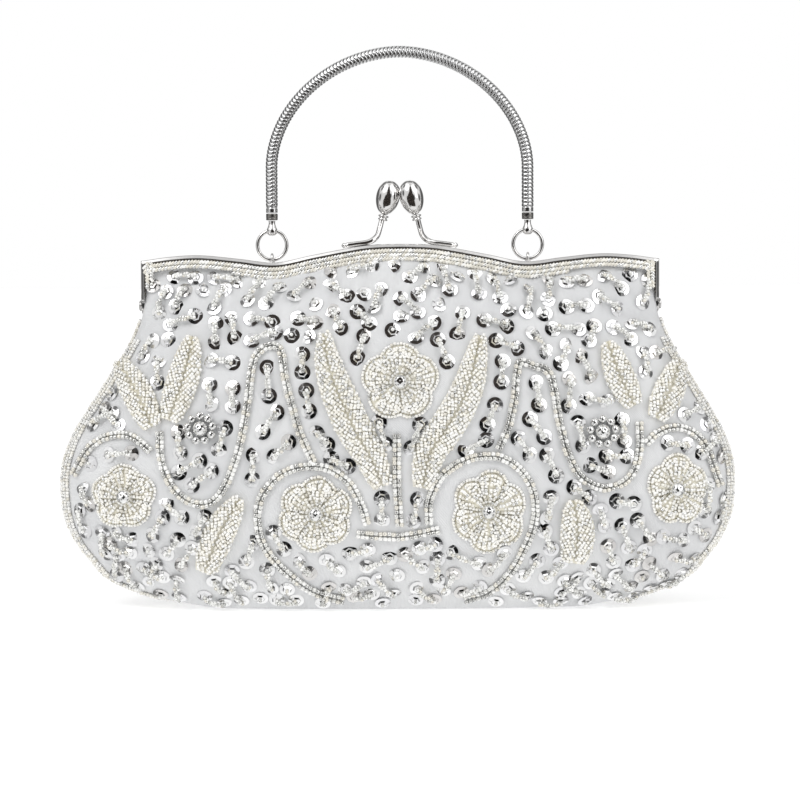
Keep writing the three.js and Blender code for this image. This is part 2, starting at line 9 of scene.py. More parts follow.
import bpy
import numpy as np
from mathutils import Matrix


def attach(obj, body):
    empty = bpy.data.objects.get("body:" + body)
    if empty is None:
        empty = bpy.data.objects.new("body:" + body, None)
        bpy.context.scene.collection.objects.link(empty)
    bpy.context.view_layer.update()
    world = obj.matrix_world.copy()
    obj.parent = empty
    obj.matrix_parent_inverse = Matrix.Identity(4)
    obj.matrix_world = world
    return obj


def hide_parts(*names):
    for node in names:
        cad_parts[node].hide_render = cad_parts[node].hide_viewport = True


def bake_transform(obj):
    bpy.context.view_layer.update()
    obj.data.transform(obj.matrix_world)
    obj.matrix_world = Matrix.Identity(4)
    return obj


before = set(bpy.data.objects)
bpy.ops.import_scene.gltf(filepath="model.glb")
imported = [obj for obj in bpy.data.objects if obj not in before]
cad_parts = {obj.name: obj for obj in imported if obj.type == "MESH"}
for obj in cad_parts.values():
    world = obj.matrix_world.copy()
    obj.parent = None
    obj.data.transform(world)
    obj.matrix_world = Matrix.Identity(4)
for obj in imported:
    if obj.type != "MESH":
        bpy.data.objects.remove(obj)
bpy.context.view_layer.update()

MM = 0.001
RNG = np.random.default_rng(20)

# Camera: the front view's measures were taken at this distance, at the height of VIEW_Z.
VIEW_DISTANCE = 1031
VIEW_Z = 80.1
VIEW_ELEVATION = math.radians(3)
VIEW_ROLL = math.radians(0.28)

# Body outline: level, half width, half depth. Above SLEEVE the levels follow the frame's curve.
STATIONS = [
    (0, 74, 10), (4, 92, 14), (10, 108.5, 18.5), (20, 119.5, 23.5), (32, 127, 27),
    (44, 129.3, 28.7), (56, 128.8, 29.3), (66, 125.5, 29.3), (76, 119.8, 28.6),
    (88, 112.3, 26.8), (100, 104.8, 23.8), (110, 100.3, 20), (117, 98.5, 16.5),
    (123, 98, 13), (128, 97.8, 9), (132, 97.7, 6.3), (136, 97.6, 4.9),
]
SECTION_POWER = 2.3
SLEEVE = 113
TOP_LEVEL = 136
TOP_DROP = 1.6
ARM_Y = 3.0
SATIN_THICK = 0.9
LINING_INSET = 2.2
LINING_THICK = 0.5
LINING_TOP = 134
BOTTOM_Z = 0.25
# Levels between which the cloth starts to hang from the arms, is gathered, and goes smooth again.
ARM_HOLD = (110, 117)
GATHER_IN = (104, 122)
GATHER_OUT = (129, 136)
SWAY = -1.3
SWAY_FADE = (45, 112)
WAVE_COUNT = 9

# Slip pocket: half width, top and bottom, depths of its two faces behind the satin.
POCKET_HALF_WIDTH = 49
POCKET_TOP = 85.5
POCKET_BOTTOM = 32.5
POCKET_HEM_Z = 82
POCKET_DEPTHS = (3.1, 3.6)

# Frame, from the centre to the right corner.
FRAME_TOP = [
    (0, 140.4), (12, 140), (22, 138.5), (34, 136.2), (48, 133.5), (62, 135),
    (76.5, 136.4), (88, 135.9), (99.5, 134.3),
]
FRAME_HALF_WIDTH = 99.5
FRAME_NEAR = 0.3
FRAME_FAR = 5.9
ARM_BOTTOM = 118
HINGE_Z = 117
EAR_R = 3.2
EAR_THICK = 0.9
EAR_INNER_X = 97.4
FRAME_CENTRE_Y = 3.1

# Kiss-lock.
BALL_X = 4.575
BALL_Z = 158.2
BALL_TILT = 13
BALL_LEAN_Y = 1.7
BALL_HALF_HEIGHT = 6.8
BALL_R = 4.6
COLLAR_X = 6.42
COLLAR_Y = 1.32
COLLAR_Z = 150.45
STEM_R = 1.02

# Rings and handle.
RING_X = 49.4
RING_MEAN_R = 5.65
RING_WIRE_R = 0.7
RING_PIVOT_Z = 134.45
LUG_ARCH_R = 1.75
LUG_ARCH_Z = 134.9
LUG_FOOT_Z = 130.4
LUG_WIRE_R = 0.5
FERRULE_Z = 151
EYELET_HOLE_R = 1.12
CHAIN_COLUMNS = 8
CHAIN_R = 2.3
CHAIN_FOOT_Z = 152.6
ARCH_Z = 170
ARCH_A = 49.4
ARCH_B = 44.3
ARCH_POWER = 1.9
SCALE_PITCH = 1.45

# Beads and sequins.
BEAD_PITCH = 1.22
ROPE_PITCH = 1.2
ROPE_SLANT = math.radians(38)
BEAD_R = 0.66
ROW_SPACING = 1.28
SEQUIN_R = 3.05
PIPING_OFFSET = 0.72
PIPING_INSETS = (1.8, 3.0)
EYE_R = 2.9
EYE_LIFT = 4.1
LEAF_SLANT = math.radians(27)
SCROLL_OFFSET = 0.87
SCROLL_LIFT = 0.9
SCROLL_PITCH = 1.66
# Ball flowers: radius of the ring of small balls, the two balls' radii and how far they stand off.
BALL_RING_R = 4.85
SMALL_BALL_R = 1.66
SMALL_BALL_LIFT = 1.9
LARGE_BALL_R = 2.85
LARGE_BALL_LIFT = 3

# Sequins: free space round each one, in the crowded parts and elsewhere, the distance between
# the two of a pair, and how many random places are tried for pairs and for single ones.
CROWDED_GAP = 1.9
SEQUIN_GAP = 3.0
PAIR_LENGTH = (7.0, 8.6)
PAIR_TRIES = 14000
SINGLE_TRIES = 8000
LOW_Z = 32
SIDE_X = 104

# Under the frame's lip: the cord, then ropes of beads as (depth, y, foot, reach to the side).
CORD_DEPTH = 1.74
CORD_Y = 6.3
CORD_FOOT = 121
CORD_STRAND_R = 0.16
CORD_TWIST_R = 0.14
FRAME_ROPES = [(2.65, 6.6, 124, 99), (4.3, 6.8, 127, 99), (5.75, 6.9, 130, 64)]

# Flowers: centre, half width, half height, petals.
FLOWERS = {
    "centre": (-0.2, 87.1, 15.5, 15.5, 5),
    "lower_left": (-33.2, 36.1, 15, 15, 6),
    "lower_right": (33.9, 36.7, 15, 16.6, 6),
    "outer_left": (-107.3, 43.2, 12.8, 12.8, 5),
    "outer_right": (106.9, 45, 12, 14.2, 5),
}

# Leaves: spine from the stalk to the tip, half width.
LEAVES = {
    "centre_left": ([(-6.8, 46.2), (-12.2, 58.8), (-17.8, 68.5), (-22.2, 78.2), (-26.1, 87.8),
                     (-28.6, 97.5), (-29.4, 107)], 7.2),
    "centre_right": ([(8.2, 45.3), (11, 58.8), (17.2, 68.5), (23, 78.2), (27, 87.8),
                      (31.2, 106)], 7.0),
    "upper_left_outer": ([(-96.2, 69.9), (-102, 83.5), (-109.7, 96.5)], 6.3),
    "upper_left_inner": ([(-89.9, 72.3), (-84, 89), (-80.2, 105.7)], 6.5),
    "upper_right_inner": ([(90.4, 77.2), (84.4, 90), (79.8, 102.8)], 6),
    "upper_right_outer": ([(98.6, 72.3), (104.2, 84), (108.3, 95.6)], 6.3),
    "lower_left": ([(-76.4, 13.4), (-70.5, 28.5), (-62.4, 42.9)], 6.5),
    "lower_right": ([(66.7, 16.3), (68.2, 29), (66.7, 41.4)], 7),
}

BALL_FLOWERS = {"left": (-77.6, 69.4), "right": (78.1, 67.5)}

# Scrolls: lines followed by a double row of beads.
SCROLLS = {
    "left_outer": [(-127, 51.6), (-121.8, 60.7), (-116, 65.6), (-109.3, 67.3), (-103.5, 66.1),
                   (-96.7, 60.7)],
    "left_middle": [(-93.3, 68.5), (-93, 58.8), (-89.9, 49.1), (-84.1, 42.4), (-77.3, 40),
                    (-71.5, 42.4), (-66.7, 50.1), (-62.4, 62.7), (-59.5, 78.2), (-57.5, 92.7),
                    (-55.1, 98.5), (-50.3, 101.4), (-46.4, 99.4), (-44.5, 87.8), (-41.6, 76.2),
                    (-38.7, 66.5), (-33.8, 55.9)],
    "left_inner": [(-13, 31.7), (-15.5, 39.5), (-20.3, 48.2), (-28, 53.5), (-36.7, 54.5),
                   (-46.4, 51.6), (-53.2, 44.3), (-55.6, 36.6), (-54.1, 25.9), (-48.3, 17.2),
                   (-39.6, 9.5), (-31.9, 5.1), (-22.2, 2.5)],
    "right_inner": [(10.6, 31.7), (11.1, 41.4), (15.5, 50.1), (23.2, 55.9), (32.9, 58.3),
                    (41.6, 56.4), (48.4, 50.1), (51.7, 41.4), (51.3, 31.7), (47.4, 22.1),
                    (41.6, 12.4), (33.8, 5.6), (24.2, 2.5)],
    "right_middle": [(37.7, 60.7), (41.6, 69.4), (44, 80.1), (45, 89.8), (46.4, 94.6),
                     (51.3, 93.1), (57.1, 90.7), (59.5, 83), (61.4, 71.4), (64.8, 58.8),
                     (69.6, 50.1), (77.4, 45.8), (85.1, 47.2), (89.9, 52), (92.3, 60.7),
                     (92.3, 71.4)],
    "right_outer": [(94.8, 62.7), (99.6, 67), (106.4, 69), (113.1, 67), (118, 61.7),
                    (120.9, 54), (123.8, 46.2)],
    "stem": [(-1.5, 67), (-1.6, 50), (-0.6, 31)],
    "foot": [(-17.4, 28.2), (-0.7, 27.2), (14.8, 29.8)],
}

# Sequin pairs joined by a string of beads, read off the front: x, z, x, z.
PAIRS = [
    (-71.5, 110, -71.5, 103), (-65, 112, -64, 104.5), (-57.5, 112, -49.5, 110.5),
    (-57.5, 103.5, -48.5, 106.5), (-73.5, 96, -65, 95), (-93.5, 96, -94, 87.5),
    (-74, 86.5, -73.5, 79), (-65, 85, -65, 78), (-51.5, 93, -51, 82), (-48, 75.5, -53.5, 68),
    (-86, 68, -85.5, 60), (-68, 69.5, -70.5, 61), (-78, 57, -86, 52.5), (-73.5, 53, -81, 47.5),
    (-43.5, 64, -49, 58.5), (-57, 59, -57.5, 49.5), (-38, 98, -38, 91), (-36.5, 84, -35.5, 76),
    (-32.5, 67.5, -28.5, 63), (-27, 57.5, -20.5, 54.5), (-113.5, 59.5, -104.5, 60),
    (-7.5, 42, -7.5, 33.5), (-8.5, 71.5, -6, 63), (-16.5, 114.5, -12, 110),
    (-16.5, 96.5, -14, 105), (-85, 35, -91, 40.5), (-76, 35, -80, 29), (-81, 23, -85.5, 16.5),
    (-96.5, 28, -92.5, 35), (-57.5, 25, -60, 17.5), (-49.5, 29, -45.5, 22.5),
    (-40, 18, -35.5, 13), (-29, 18, -24.5, 14), (-89, 110, -79.5, 113),
    (-96, 103.5, -100, 97.5), (-39.5, 112, -33, 110.5), (-111.5, 75.5, -119.5, 71.5),
    (-52, 14.5, -50.5, 7.5), (-65.5, 14, -59, 8), (-68, 6, -72.5, 10), (-20, 21, -13, 22),
    (-13.5, 15.5, -4.5, 19), (-22, 6.5, -14.5, 9.5), (6.5, 41.5, 4.5, 33),
    (7.5, 70.5, 4, 61.5), (13, 110, 6, 104.5), (14.5, 103.5, 18, 95), (24, 114, 22, 105.5),
    (32.5, 111, 41, 108.5), (37, 103, 45, 100), (39.5, 95, 39, 87), (51.5, 106, 56.5, 98.5),
    (36.5, 78, 33.5, 70.5), (33, 64.5, 25, 60.5), (52.5, 86.5, 53.5, 78), (50, 72.5, 55.5, 65.5),
    (45.5, 65, 50, 58.5), (56.5, 58.5, 60, 50.5), (64.5, 101, 62, 94), (69.5, 97, 74, 88.5),
    (65.5, 88, 65, 77.5), (72, 80.5, 80, 79), (68.5, 71, 70.5, 62), (85.5, 72, 86.5, 64),
    (87.5, 58, 79.5, 58), (73, 54.5, 80, 52), (75, 108.5, 73, 103), (59, 107.5, 69, 107.5),
    (103.5, 63, 111, 62), (119, 46.5, 118, 36.5), (67, 46, 73, 42), (58, 42, 56.5, 34),
    (83.5, 40.5, 90, 39.5), (77, 37, 79, 31), (55.5, 29, 58, 22), (52.5, 17.5, 47, 11.5),
    (61.5, 16.5, 56, 11), (85.5, 31, 88, 22.5), (91.5, 33, 96.5, 26), (80, 23, 82, 17),
    (95, 90.5, 94, 98.5), (99, 98, 105, 99.5), (82.5, 108, 89, 103.5), (13, 24, 7, 22.5),
    (19, 21, 30, 16.5), (40, 20.5, 34, 14), (101.5, 26.5, 109.5, 25.5), (113.5, 30, 118, 27),
    (110, 74, 116, 77),
]

SIDES = {"front": -1, "rear": 1}


# ---------------------------------------------------------------- camera, light and stage


def add_camera():
    """A long lens at the height of the frame, looking very slightly down."""
    data = bpy.data.cameras.new("camera")
    data.lens = 120
    data.sensor_width = 36
    data.clip_end = 50
    camera = bpy.data.objects.new("camera", data)
    bpy.context.collection.objects.link(camera)
    camera.location = (
        0,
        -VIEW_DISTANCE * MM * math.cos(VIEW_ELEVATION),
        (VIEW_Z + VIEW_DISTANCE * math.sin(VIEW_ELEVATION)) * MM,
    )
    camera.rotation_euler = (math.pi / 2 - VIEW_ELEVATION, VIEW_ROLL, 0)
    bpy.context.scene.camera = camera


def add_area_light(name, place, target, size, power):
    data = bpy.data.lights.new(name, "AREA")
    data.shape = "RECTANGLE"
    data.size, data.size_y = size
    data.energy = power
    light = bpy.data.objects.new(name, data)
    bpy.context.collection.objects.link(light)
    place = np.array(place, float)
    away = place - np.array(target, float)
    away /= np.linalg.norm(away)
    flat = math.hypot(away[0], away[1])
    light.location = place
    light.rotation_euler = (math.atan2(flat, away[2]), 0, math.atan2(away[0], -away[1]))


def add_lights():
    add_area_light("key", (-0.7, -0.9, 1.0), (0, 0, 0.08), (0.5, 0.5), 3)
    add_area_light("fill", (0.9, -0.8, 0.5), (0, 0, 0.08), (0.4, 0.7), 1.2)


# Parts of the studio that the bright metal mirrors: azimuth (0 is the front), elevation, core
# and edge radius in degrees, and the light there times the white around it. Two large soft
# boxes stand above on the left and right, and the dark room shows between and below them.
STUDIO = [
    (-46, 46, 18, 30, 1.9), (46, 42, 18, 30, 1.8),
    (0, 1, 17, 24, 0.05), (-20, -2, 9, 15, 0.10), (20, -2, 9, 15, 0.10),
    (0, 20, 11, 16, 0.05), (0, 33, 8, 13, 0.06), (0, 46, 6, 10, 0.08),
    (0, -20, 12, 17, 0.1), (-34, -38, 7, 14, 0.2), (12, -66, 22, 34, 1.15),
    (0, 108, 14, 20, 0.2), (0, 68, 9, 15, 0.82),
    (-80, 6, 7, 16, 0.15), (80, 4, 7, 16, 0.15), (-88, 40, 7, 16, 0.2),
    (86, 44, 7, 16, 0.2), (-84, -34, 7, 16, 0.2), (84, -36, 7, 16, 0.2),
    (-128, 0, 22, 36, 0.12), (128, 0, 22, 36, 0.12), (-132, 46, 12, 24, 0.2),
    (132, 46, 12, 24, 0.2), (-128, -46, 12, 24, 0.2), (128, -46, 12, 24, 0.2),
]
FRONT_LEVEL = 0.80
# Where the reflection card stands, in metres.
FLAG_Y = -0.072


def add_world():
    """A white studio, a little dimmer in front, with soft boxes and dark gaps."""
    world = bpy.data.worlds.new("studio")
    bpy.context.scene.world = world
    world.use_nodes = True
    tree = world.node_tree
    nodes, links = tree.nodes, tree.links
    where = nodes.new("ShaderNodeTexCoord").outputs["Generated"]

    def ramp(value, low, high, first, last):
        node = nodes.new("ShaderNodeMapRange")
        node.interpolation_type = "SMOOTHSTEP"
        for name, number in zip(("From Min", "From Max", "To Min", "To Max"),
                                (low, high, first, last)):
            node.inputs[name].default_value = number
        links.new(value, node.inputs["Value"])
        return node.outputs["Result"]

    along = nodes.new("ShaderNodeSeparateXYZ")
    links.new(where, along.inputs["Vector"])
    level = ramp(along.outputs["Y"], -0.5, 0.4, FRONT_LEVEL, 1)
    for azimuth, elevation, core, edge, light in STUDIO:
        a, e = math.radians(azimuth), math.radians(elevation)
        dot = nodes.new("ShaderNodeVectorMath")
        dot.operation = "DOT_PRODUCT"
        dot.inputs[1].default_value = (
            math.sin(a) * math.cos(e), -math.cos(a) * math.cos(e), math.sin(e))
        links.new(where, dot.inputs[0])
        share = ramp(dot.outputs["Value"], math.cos(math.radians(edge)),
                     math.cos(math.radians(core)), 1, light)
        both = nodes.new("ShaderNodeMath")
        both.operation = "MULTIPLY"
        links.new(level, both.inputs[0])
        links.new(share, both.inputs[1])
        level = both.outputs["Value"]
    links.new(level, nodes["Background"].inputs["Strength"])
    nodes["Background"].inputs["Color"].default_value = (1, 1, 1, 1)


def add_card(name, corners, material):
    """A flat face of the stage."""
    mesh = bpy.data.meshes.new(name)
    mesh.from_pydata(corners, [], [tuple(range(len(corners)))])
    mesh.materials.append(material)
    card = bpy.data.objects.new(name, mesh)
    bpy.context.collection.objects.link(card)
    return card


def add_floor():
    """A plain white floor, far wider than the view."""
    material = plain_material("floor", (0.93, 0.93, 0.93), roughness=0.7)
    shader = material.node_tree.nodes["Principled BSDF"]
    shader.inputs["Emission Color"].default_value = (1, 1, 1, 1)
    shader.inputs["Emission Strength"].default_value = 0.4
    reach = 12
    square = [(-reach, -reach, 0), (reach, -reach, 0), (reach, reach, 0), (-reach, reach, 0)]
    add_card("floor", square, material).visible_glossy = False


def add_flag():
    """A black card in front of the clasp, above the camera's line, that only shows in the metal."""
    outline = [(-0.060, 0.088), (0.056, 0.088), (0.044, 0.125), (0.026, 0.155), (0.013, 0.20),
               (0.002, 0.266), (-0.002, 0.266), (-0.014, 0.19), (-0.030, 0.162),
               (-0.066, 0.146), (-0.080, 0.110)]
    flag = add_card("flag", [(x, FLAG_Y, z) for x, z in outline],
                    plain_material("flag", (0.05, 0.04, 0.035), roughness=0.9))
    for ray in ("camera", "diffuse", "shadow", "transmission"):
        setattr(flag, f"visible_{ray}", False)


# ---------------------------------------------------------------- materials


def plain_material(name, colour, metallic=0.0, roughness=0.4, coat=0.0, sheen=0.0):
    material = bpy.data.materials.new(name)
    material.use_nodes = True
    shader = material.node_tree.nodes["Principled BSDF"]
    shader.inputs["Base Color"].default_value = (*colour, 1)
    shader.inputs["Metallic"].default_value = metallic
    shader.inputs["Roughness"].default_value = roughness
    shader.inputs["Coat Weight"].default_value = coat
    shader.inputs["Coat Roughness"].default_value = 0.06
    shader.inputs["Sheen Weight"].default_value = sheen
    return material


class Nodes:
    """Short ways to add procedural texture nodes to a material."""

    def __init__(self, material):
        self.tree = material.node_tree
        self.shader = self.tree.nodes["Principled BSDF"]
        place = self.tree.nodes.new("ShaderNodeTexCoord")
        self.place = place.outputs["Object"]

    def link(self, a, b):
        self.tree.links.new(a, b)

    def noise(self, scale, detail=3, stretch=(1, 1, 1)):
        mapping = self.tree.nodes.new("ShaderNodeMapping")
        mapping.inputs["Scale"].default_value = stretch
        self.link(self.place, mapping.inputs["Vector"])
        node = self.tree.nodes.new("ShaderNodeTexNoise")
        node.inputs["Scale"].default_value = scale
        node.inputs["Detail"].default_value = detail
        self.link(mapping.outputs["Vector"], node.inputs["Vector"])
        return node.outputs["Fac"]

    def wave(self, scale, direction):
        node = self.tree.nodes.new("ShaderNodeTexWave")
        node.bands_direction = direction
        node.inputs["Scale"].default_value = scale
        node.inputs["Distortion"].default_value = 0.6
        node.inputs["Detail"].default_value = 1
        self.link(self.place, node.inputs["Vector"])
        return node.outputs["Fac"]

    def spread(self, value, low, high):
        """A 0 to 1 value as a number from low to high."""
        node = self.tree.nodes.new("ShaderNodeMapRange")
        node.inputs["From Min"].default_value = 0.3
        node.inputs["From Max"].default_value = 0.7
        node.inputs["To Min"].default_value = low
        node.inputs["To Max"].default_value = high
        self.link(value, node.inputs["Value"])
        return node.outputs["Result"]

    def colours(self, value, first, second):
        node = self.tree.nodes.new("ShaderNodeValToRGB")
        node.color_ramp.elements[0].position = 0.3
        node.color_ramp.elements[0].color = (*first, 1)
        node.color_ramp.elements[1].position = 0.7
        node.color_ramp.elements[1].color = (*second, 1)
        self.link(value, node.inputs["Fac"])
        self.link(node.outputs["Color"], self.shader.inputs["Base Color"])

    def bump(self, value, distance, before=None):
        node = self.tree.nodes.new("ShaderNodeBump")
        node.inputs["Strength"].default_value = 1
        node.inputs["Distance"].default_value = distance
        self.link(value, node.inputs["Height"])
        if before is not None:
            self.link(before, node.inputs["Normal"])
        self.link(node.outputs["Normal"], self.shader.inputs["Normal"])
        return node.outputs["Normal"]


def satin_material(name, light, dark):
    """Smooth satin: close diagonal weave, soft creases and a slight sheen."""
    material = plain_material(name, light, roughness=0.4, sheen=0.35)
    nodes = Nodes(material)
    nodes.colours(nodes.noise(38, 4), dark, light)
    nodes.link(nodes.spread(nodes.noise(120, 2), 0.34, 0.48), nodes.shader.inputs["Roughness"])
    crease = nodes.bump(nodes.noise(110, 3, (1, 1, 0.5)), 0.0009)
    weave = nodes.bump(nodes.wave(620, "DIAGONAL"), 0.00004, crease)
    nodes.bump(nodes.wave(900, "X"), 0.00002, weave)
    return material


def metal_material(name, light, dark, low, high, streaks=(1, 1, 1), scale=260, depth=0.00001):
    """Polished metal with wiped patches, fine scratches and a slightly uneven surface."""
    material = plain_material(name, light, metallic=1, roughness=low)
    nodes = Nodes(material)
    nodes.colours(nodes.noise(scale, 4, streaks), dark, light)
    nodes.link(nodes.spread(nodes.noise(scale * 2.3, 4, streaks), low, high),
               nodes.shader.inputs["Roughness"])
    nodes.bump(nodes.noise(scale * 3, 3, streaks), depth)
    return material


def make_materials():
    """Every finish. A list holds the tints that one kind of small part comes in."""
    return {
        "satin": satin_material("satin", (0.75, 0.755, 0.76), (0.67, 0.675, 0.685)),
        "lining": satin_material("lining", (0.78, 0.77, 0.74), (0.70, 0.69, 0.66)),
        "chrome": metal_material("chrome", (0.88, 0.87, 0.86), (0.81, 0.80, 0.79), 0.04, 0.12),
        "nickel": metal_material("nickel", (0.36, 0.35, 0.33), (0.16, 0.155, 0.15), 0.22, 0.42,
                                 (1, 1, 0.12), 900, 0.00004),
        "chain": metal_material("chain", (0.80, 0.80, 0.80), (0.58, 0.58, 0.58), 0.12, 0.24,
                                (1, 1, 1), 500, 0.00001),
        # Dark grey for the chain's grooves: painted shade between the scales.
        "gap": plain_material("chain_groove_painted_shade", (0.16, 0.16, 0.16), 0.7, 0.35),
        "silver": metal_material("silver", (0.96, 0.96, 0.95), (0.88, 0.88, 0.87), 0.06, 0.14),
        # Cream pads under the motifs: a real low pad, and its pale colour is partly painted light,
        # the glow through the glass beads between them.
        "padding": satin_material("padding", (0.96, 0.93, 0.83), (0.90, 0.86, 0.72)),
        "cord": metal_material("cord", (0.16, 0.14, 0.12), (0.05, 0.045, 0.04), 0.4, 0.6,
                               (1, 1, 1), 900, 0.00005),
        "beads": [
            plain_material("bead_ivory", (0.98, 0.965, 0.92), 0.0, 0.20, 1.0),
            plain_material("bead_pearl", (0.98, 0.975, 0.95), 0.08, 0.16, 1.0),
            plain_material("bead_cream", (0.95, 0.925, 0.85), 0.0, 0.22, 1.0),
            plain_material("bead_champagne", (0.80, 0.77, 0.69), 0.15, 0.24, 0.8),
            plain_material("bead_silver_lined", (0.97, 0.97, 0.95), 0.7, 0.12, 1.0),
        ],
        "clear_beads": [
            plain_material("bead_clear", (0.88, 0.88, 0.85), 0.4, 0.14, 1.0),
            plain_material("bead_clear_pale", (0.96, 0.96, 0.94), 0.1, 0.12, 1.0),
            plain_material("bead_clear_silver", (0.80, 0.80, 0.78), 0.9, 0.14, 1.0),
            plain_material("bead_clear_warm", (0.88, 0.85, 0.77), 0.3, 0.18, 1.0),
        ],
        "sequins": [
            plain_material("sequin_bright", (0.95, 0.95, 0.95), 1.0, 0.05),
            plain_material("sequin_soft", (0.90, 0.90, 0.91), 1.0, 0.12),
            plain_material("sequin_shaded", (0.78, 0.765, 0.75), 1.0, 0.08),
        ],
    }


# ---------------------------------------------------------------- mesh building


class Pile:
    """Closed shapes gathered into one mesh."""

    def __init__(self):
        self.points = []
        self.corners = []
        self.sizes = []
        self.tints = []
        self.smooth = []
        self.count = 0

    def add(self, points, face_sets, tint=0, smooth=True):
        """One shape: (n, 3) points and a list of (m, k) arrays of point numbers."""
        points = np.asarray(points, float)
        for faces in face_sets:
            faces = np.asarray(faces, int)
            self.corners.append((faces + self.count).ravel())
            self.sizes.append(np.full(len(faces), faces.shape[1]))
            self.tints.append(np.full(len(faces), tint))
            self.smooth.append(np.full(len(faces), smooth))
        self.points.append(points)
        self.count += len(points)

    def stamp(self, shape, places, axes, tints=None, smooth=True):
        """Copies of a shape: places (m, 3), axes (m, 3, 3) whose columns are its own X, Y and Z."""
        points, face_sets = shape
        m, n = len(places), len(points)
        if m == 0:
            return
        tints = np.zeros(m, int) if tints is None else np.asarray(tints)
        world = places[:, None, :] + np.einsum("mij,nj->mni", axes, points)
        shift = self.count + n * np.arange(m)
        for faces in face_sets:
            every = faces[None] + shift[:, None, None]
            k = faces.shape[1]
            self.corners.append(every.ravel())
            self.sizes.append(np.full(m * len(faces), k))
            self.tints.append(np.repeat(tints, len(faces)))
            self.smooth.append(np.full(m * len(faces), smooth))
        self.points.append(world.reshape(-1, 3))
        self.count += m * n

    def build(self, name, materials):
        mesh = bpy.data.meshes.new(name)
        points = np.concatenate(self.points) * MM
        corners = np.concatenate(self.corners)
        sizes = np.concatenate(self.sizes)
        mesh.vertices.add(len(points))
        mesh.vertices.foreach_set("co", points.ravel())
        mesh.loops.add(len(corners))
        mesh.loops.foreach_set("vertex_index", corners)
        mesh.polygons.add(len(sizes))
        mesh.polygons.foreach_set("loop_start", np.concatenate([[0], np.cumsum(sizes)[:-1]]))
        mesh.polygons.foreach_set("material_index", np.concatenate(self.tints))
        mesh.polygons.foreach_set("use_smooth", np.concatenate(self.smooth))
        mesh.update(calc_edges=True)
        for material in materials if isinstance(materials, list) else [materials]:
            mesh.materials.append(material)
        piece = bpy.data.objects.new(name, mesh)
        bpy.context.collection.objects.link(piece)
        return piece


def unit(vectors):
    return vectors / np.maximum(np.linalg.norm(vectors, axis=-1, keepdims=True), 1e-9)


def ring_faces(rings, around, closed_rings=False, closed_around=True):
    """Quads between neighbouring rings of points."""
    last = rings if closed_rings else rings - 1
    i, j = np.meshgrid(np.arange(last), np.arange(around if closed_around else around - 1),
                       indexing="ij")
    a = i * around + j
    b = i * around + (j + 1) % around
    c = ((i + 1) % rings) * around + (j + 1) % around
    d = ((i + 1) % rings) * around + j
    return np.stack([a, b, c, d], -1).reshape(-1, 4)


def lathe(profile, around, closed=False):
    """A shape turned about its own X axis. The profile is (radius, x) from the low end up."""
    profile = np.array(profile, float)
    angle = np.arange(around) * 2 * math.pi / around
    points = np.empty((len(profile), around, 3))
    points[..., 0] = profile[:, None, 1]
    points[..., 1] = profile[:, None, 0] * np.cos(angle)
    points[..., 2] = profile[:, None, 0] * np.sin(angle)
    sides = ring_faces(len(profile), around, closed_rings=closed)[:, ::-1]
    face_sets = [sides]
    if not closed:
        first = np.arange(around)[None]
        final = (len(profile) - 1) * around + np.arange(around)[None]
        face_sets += [first, final[:, ::-1]]
    return points.reshape(-1, 3), face_sets


def bead_shape(radius=BEAD_R, half=0.56, hole=0.24, around=8):
    """A rounded glass barrel with its thread hole along X."""
    profile = [
        (hole, -half * 0.8), (radius * 0.78, -half), (radius, -half * 0.45),
        (radius, half * 0.45), (radius * 0.78, half), (hole, half * 0.8),
    ]
    return lathe(profile, around, closed=True)


def ball_shape(radius, around=20, rings=11, hole=0.16):
    """A polished ball with a small drilled dimple at each end of its X axis."""
    turns = np.linspace(-math.pi / 2 + hole, math.pi / 2 - hole, rings)
    profile = [(radius * 0.05, -radius * 0.86)]
    profile += [(radius * math.cos(t), radius * math.sin(t)) for t in turns]
    profile += [(radius * 0.05, radius * 0.86)]
    return lathe(profile, around)


def sequin_shape(columns=24):
    """A faceted cup sequin worn dome up: sloping rim, six short walls and a hole. Its axis is Z."""
    angle = np.arange(columns) * 2 * math.pi / columns
    wall = (angle + math.pi / 6) % (math.pi / 3) - math.pi / 6
    flat = 1.04 * math.cos(math.pi / 6) / np.cos(wall)
    rows = [
        (SEQUIN_R, 0.0, 0), (1.85, 0.26, 1), (1.36, 0.78, 1), (0.34, 0.92, 0),
        (0.34, 0.80, 0), (1.30, 0.66, 1), (1.80, 0.13, 1), (SEQUIN_R, -0.10, 0),
    ]
    points = np.empty((len(rows), columns, 3))
    for row, (radius, height, six_sided) in zip(points, rows):
        reach = radius * (flat if six_sided else 1)
        row[:, 0] = reach * np.cos(angle)
        row[:, 1] = reach * np.sin(angle)
        row[:, 2] = height
    return points.reshape(-1, 3), [ring_faces(len(rows), columns, closed_rings=True)]


def sweep(path, profile, ups=None):
    """A closed profile, (across, up) pairs, carried along a path: rings of points and faces."""
    path = np.asarray(path, float)
    tangent = unit(np.gradient(path, axis=0))
    if ups is None:
        ups = np.tile(np.array([0.0, 1.0, 0.0]), (len(path), 1))
    across = unit(np.cross(tangent, ups))
    up = np.cross(across, tangent)
    profile = np.asarray(profile, float)
    if profile.ndim == 2:
        profile = np.tile(profile, (len(path), 1, 1))
    points = (path[:, None] + profile[..., :1] * across[:, None] + profile[..., 1:] * up[:, None])
    around = profile.shape[1]
    sides = ring_faces(len(path), around)
    first = np.arange(around)[None, ::-1]
    final = (len(path) - 1) * around + np.arange(around)[None]
    return points.reshape(-1, 3), [sides, first, final]


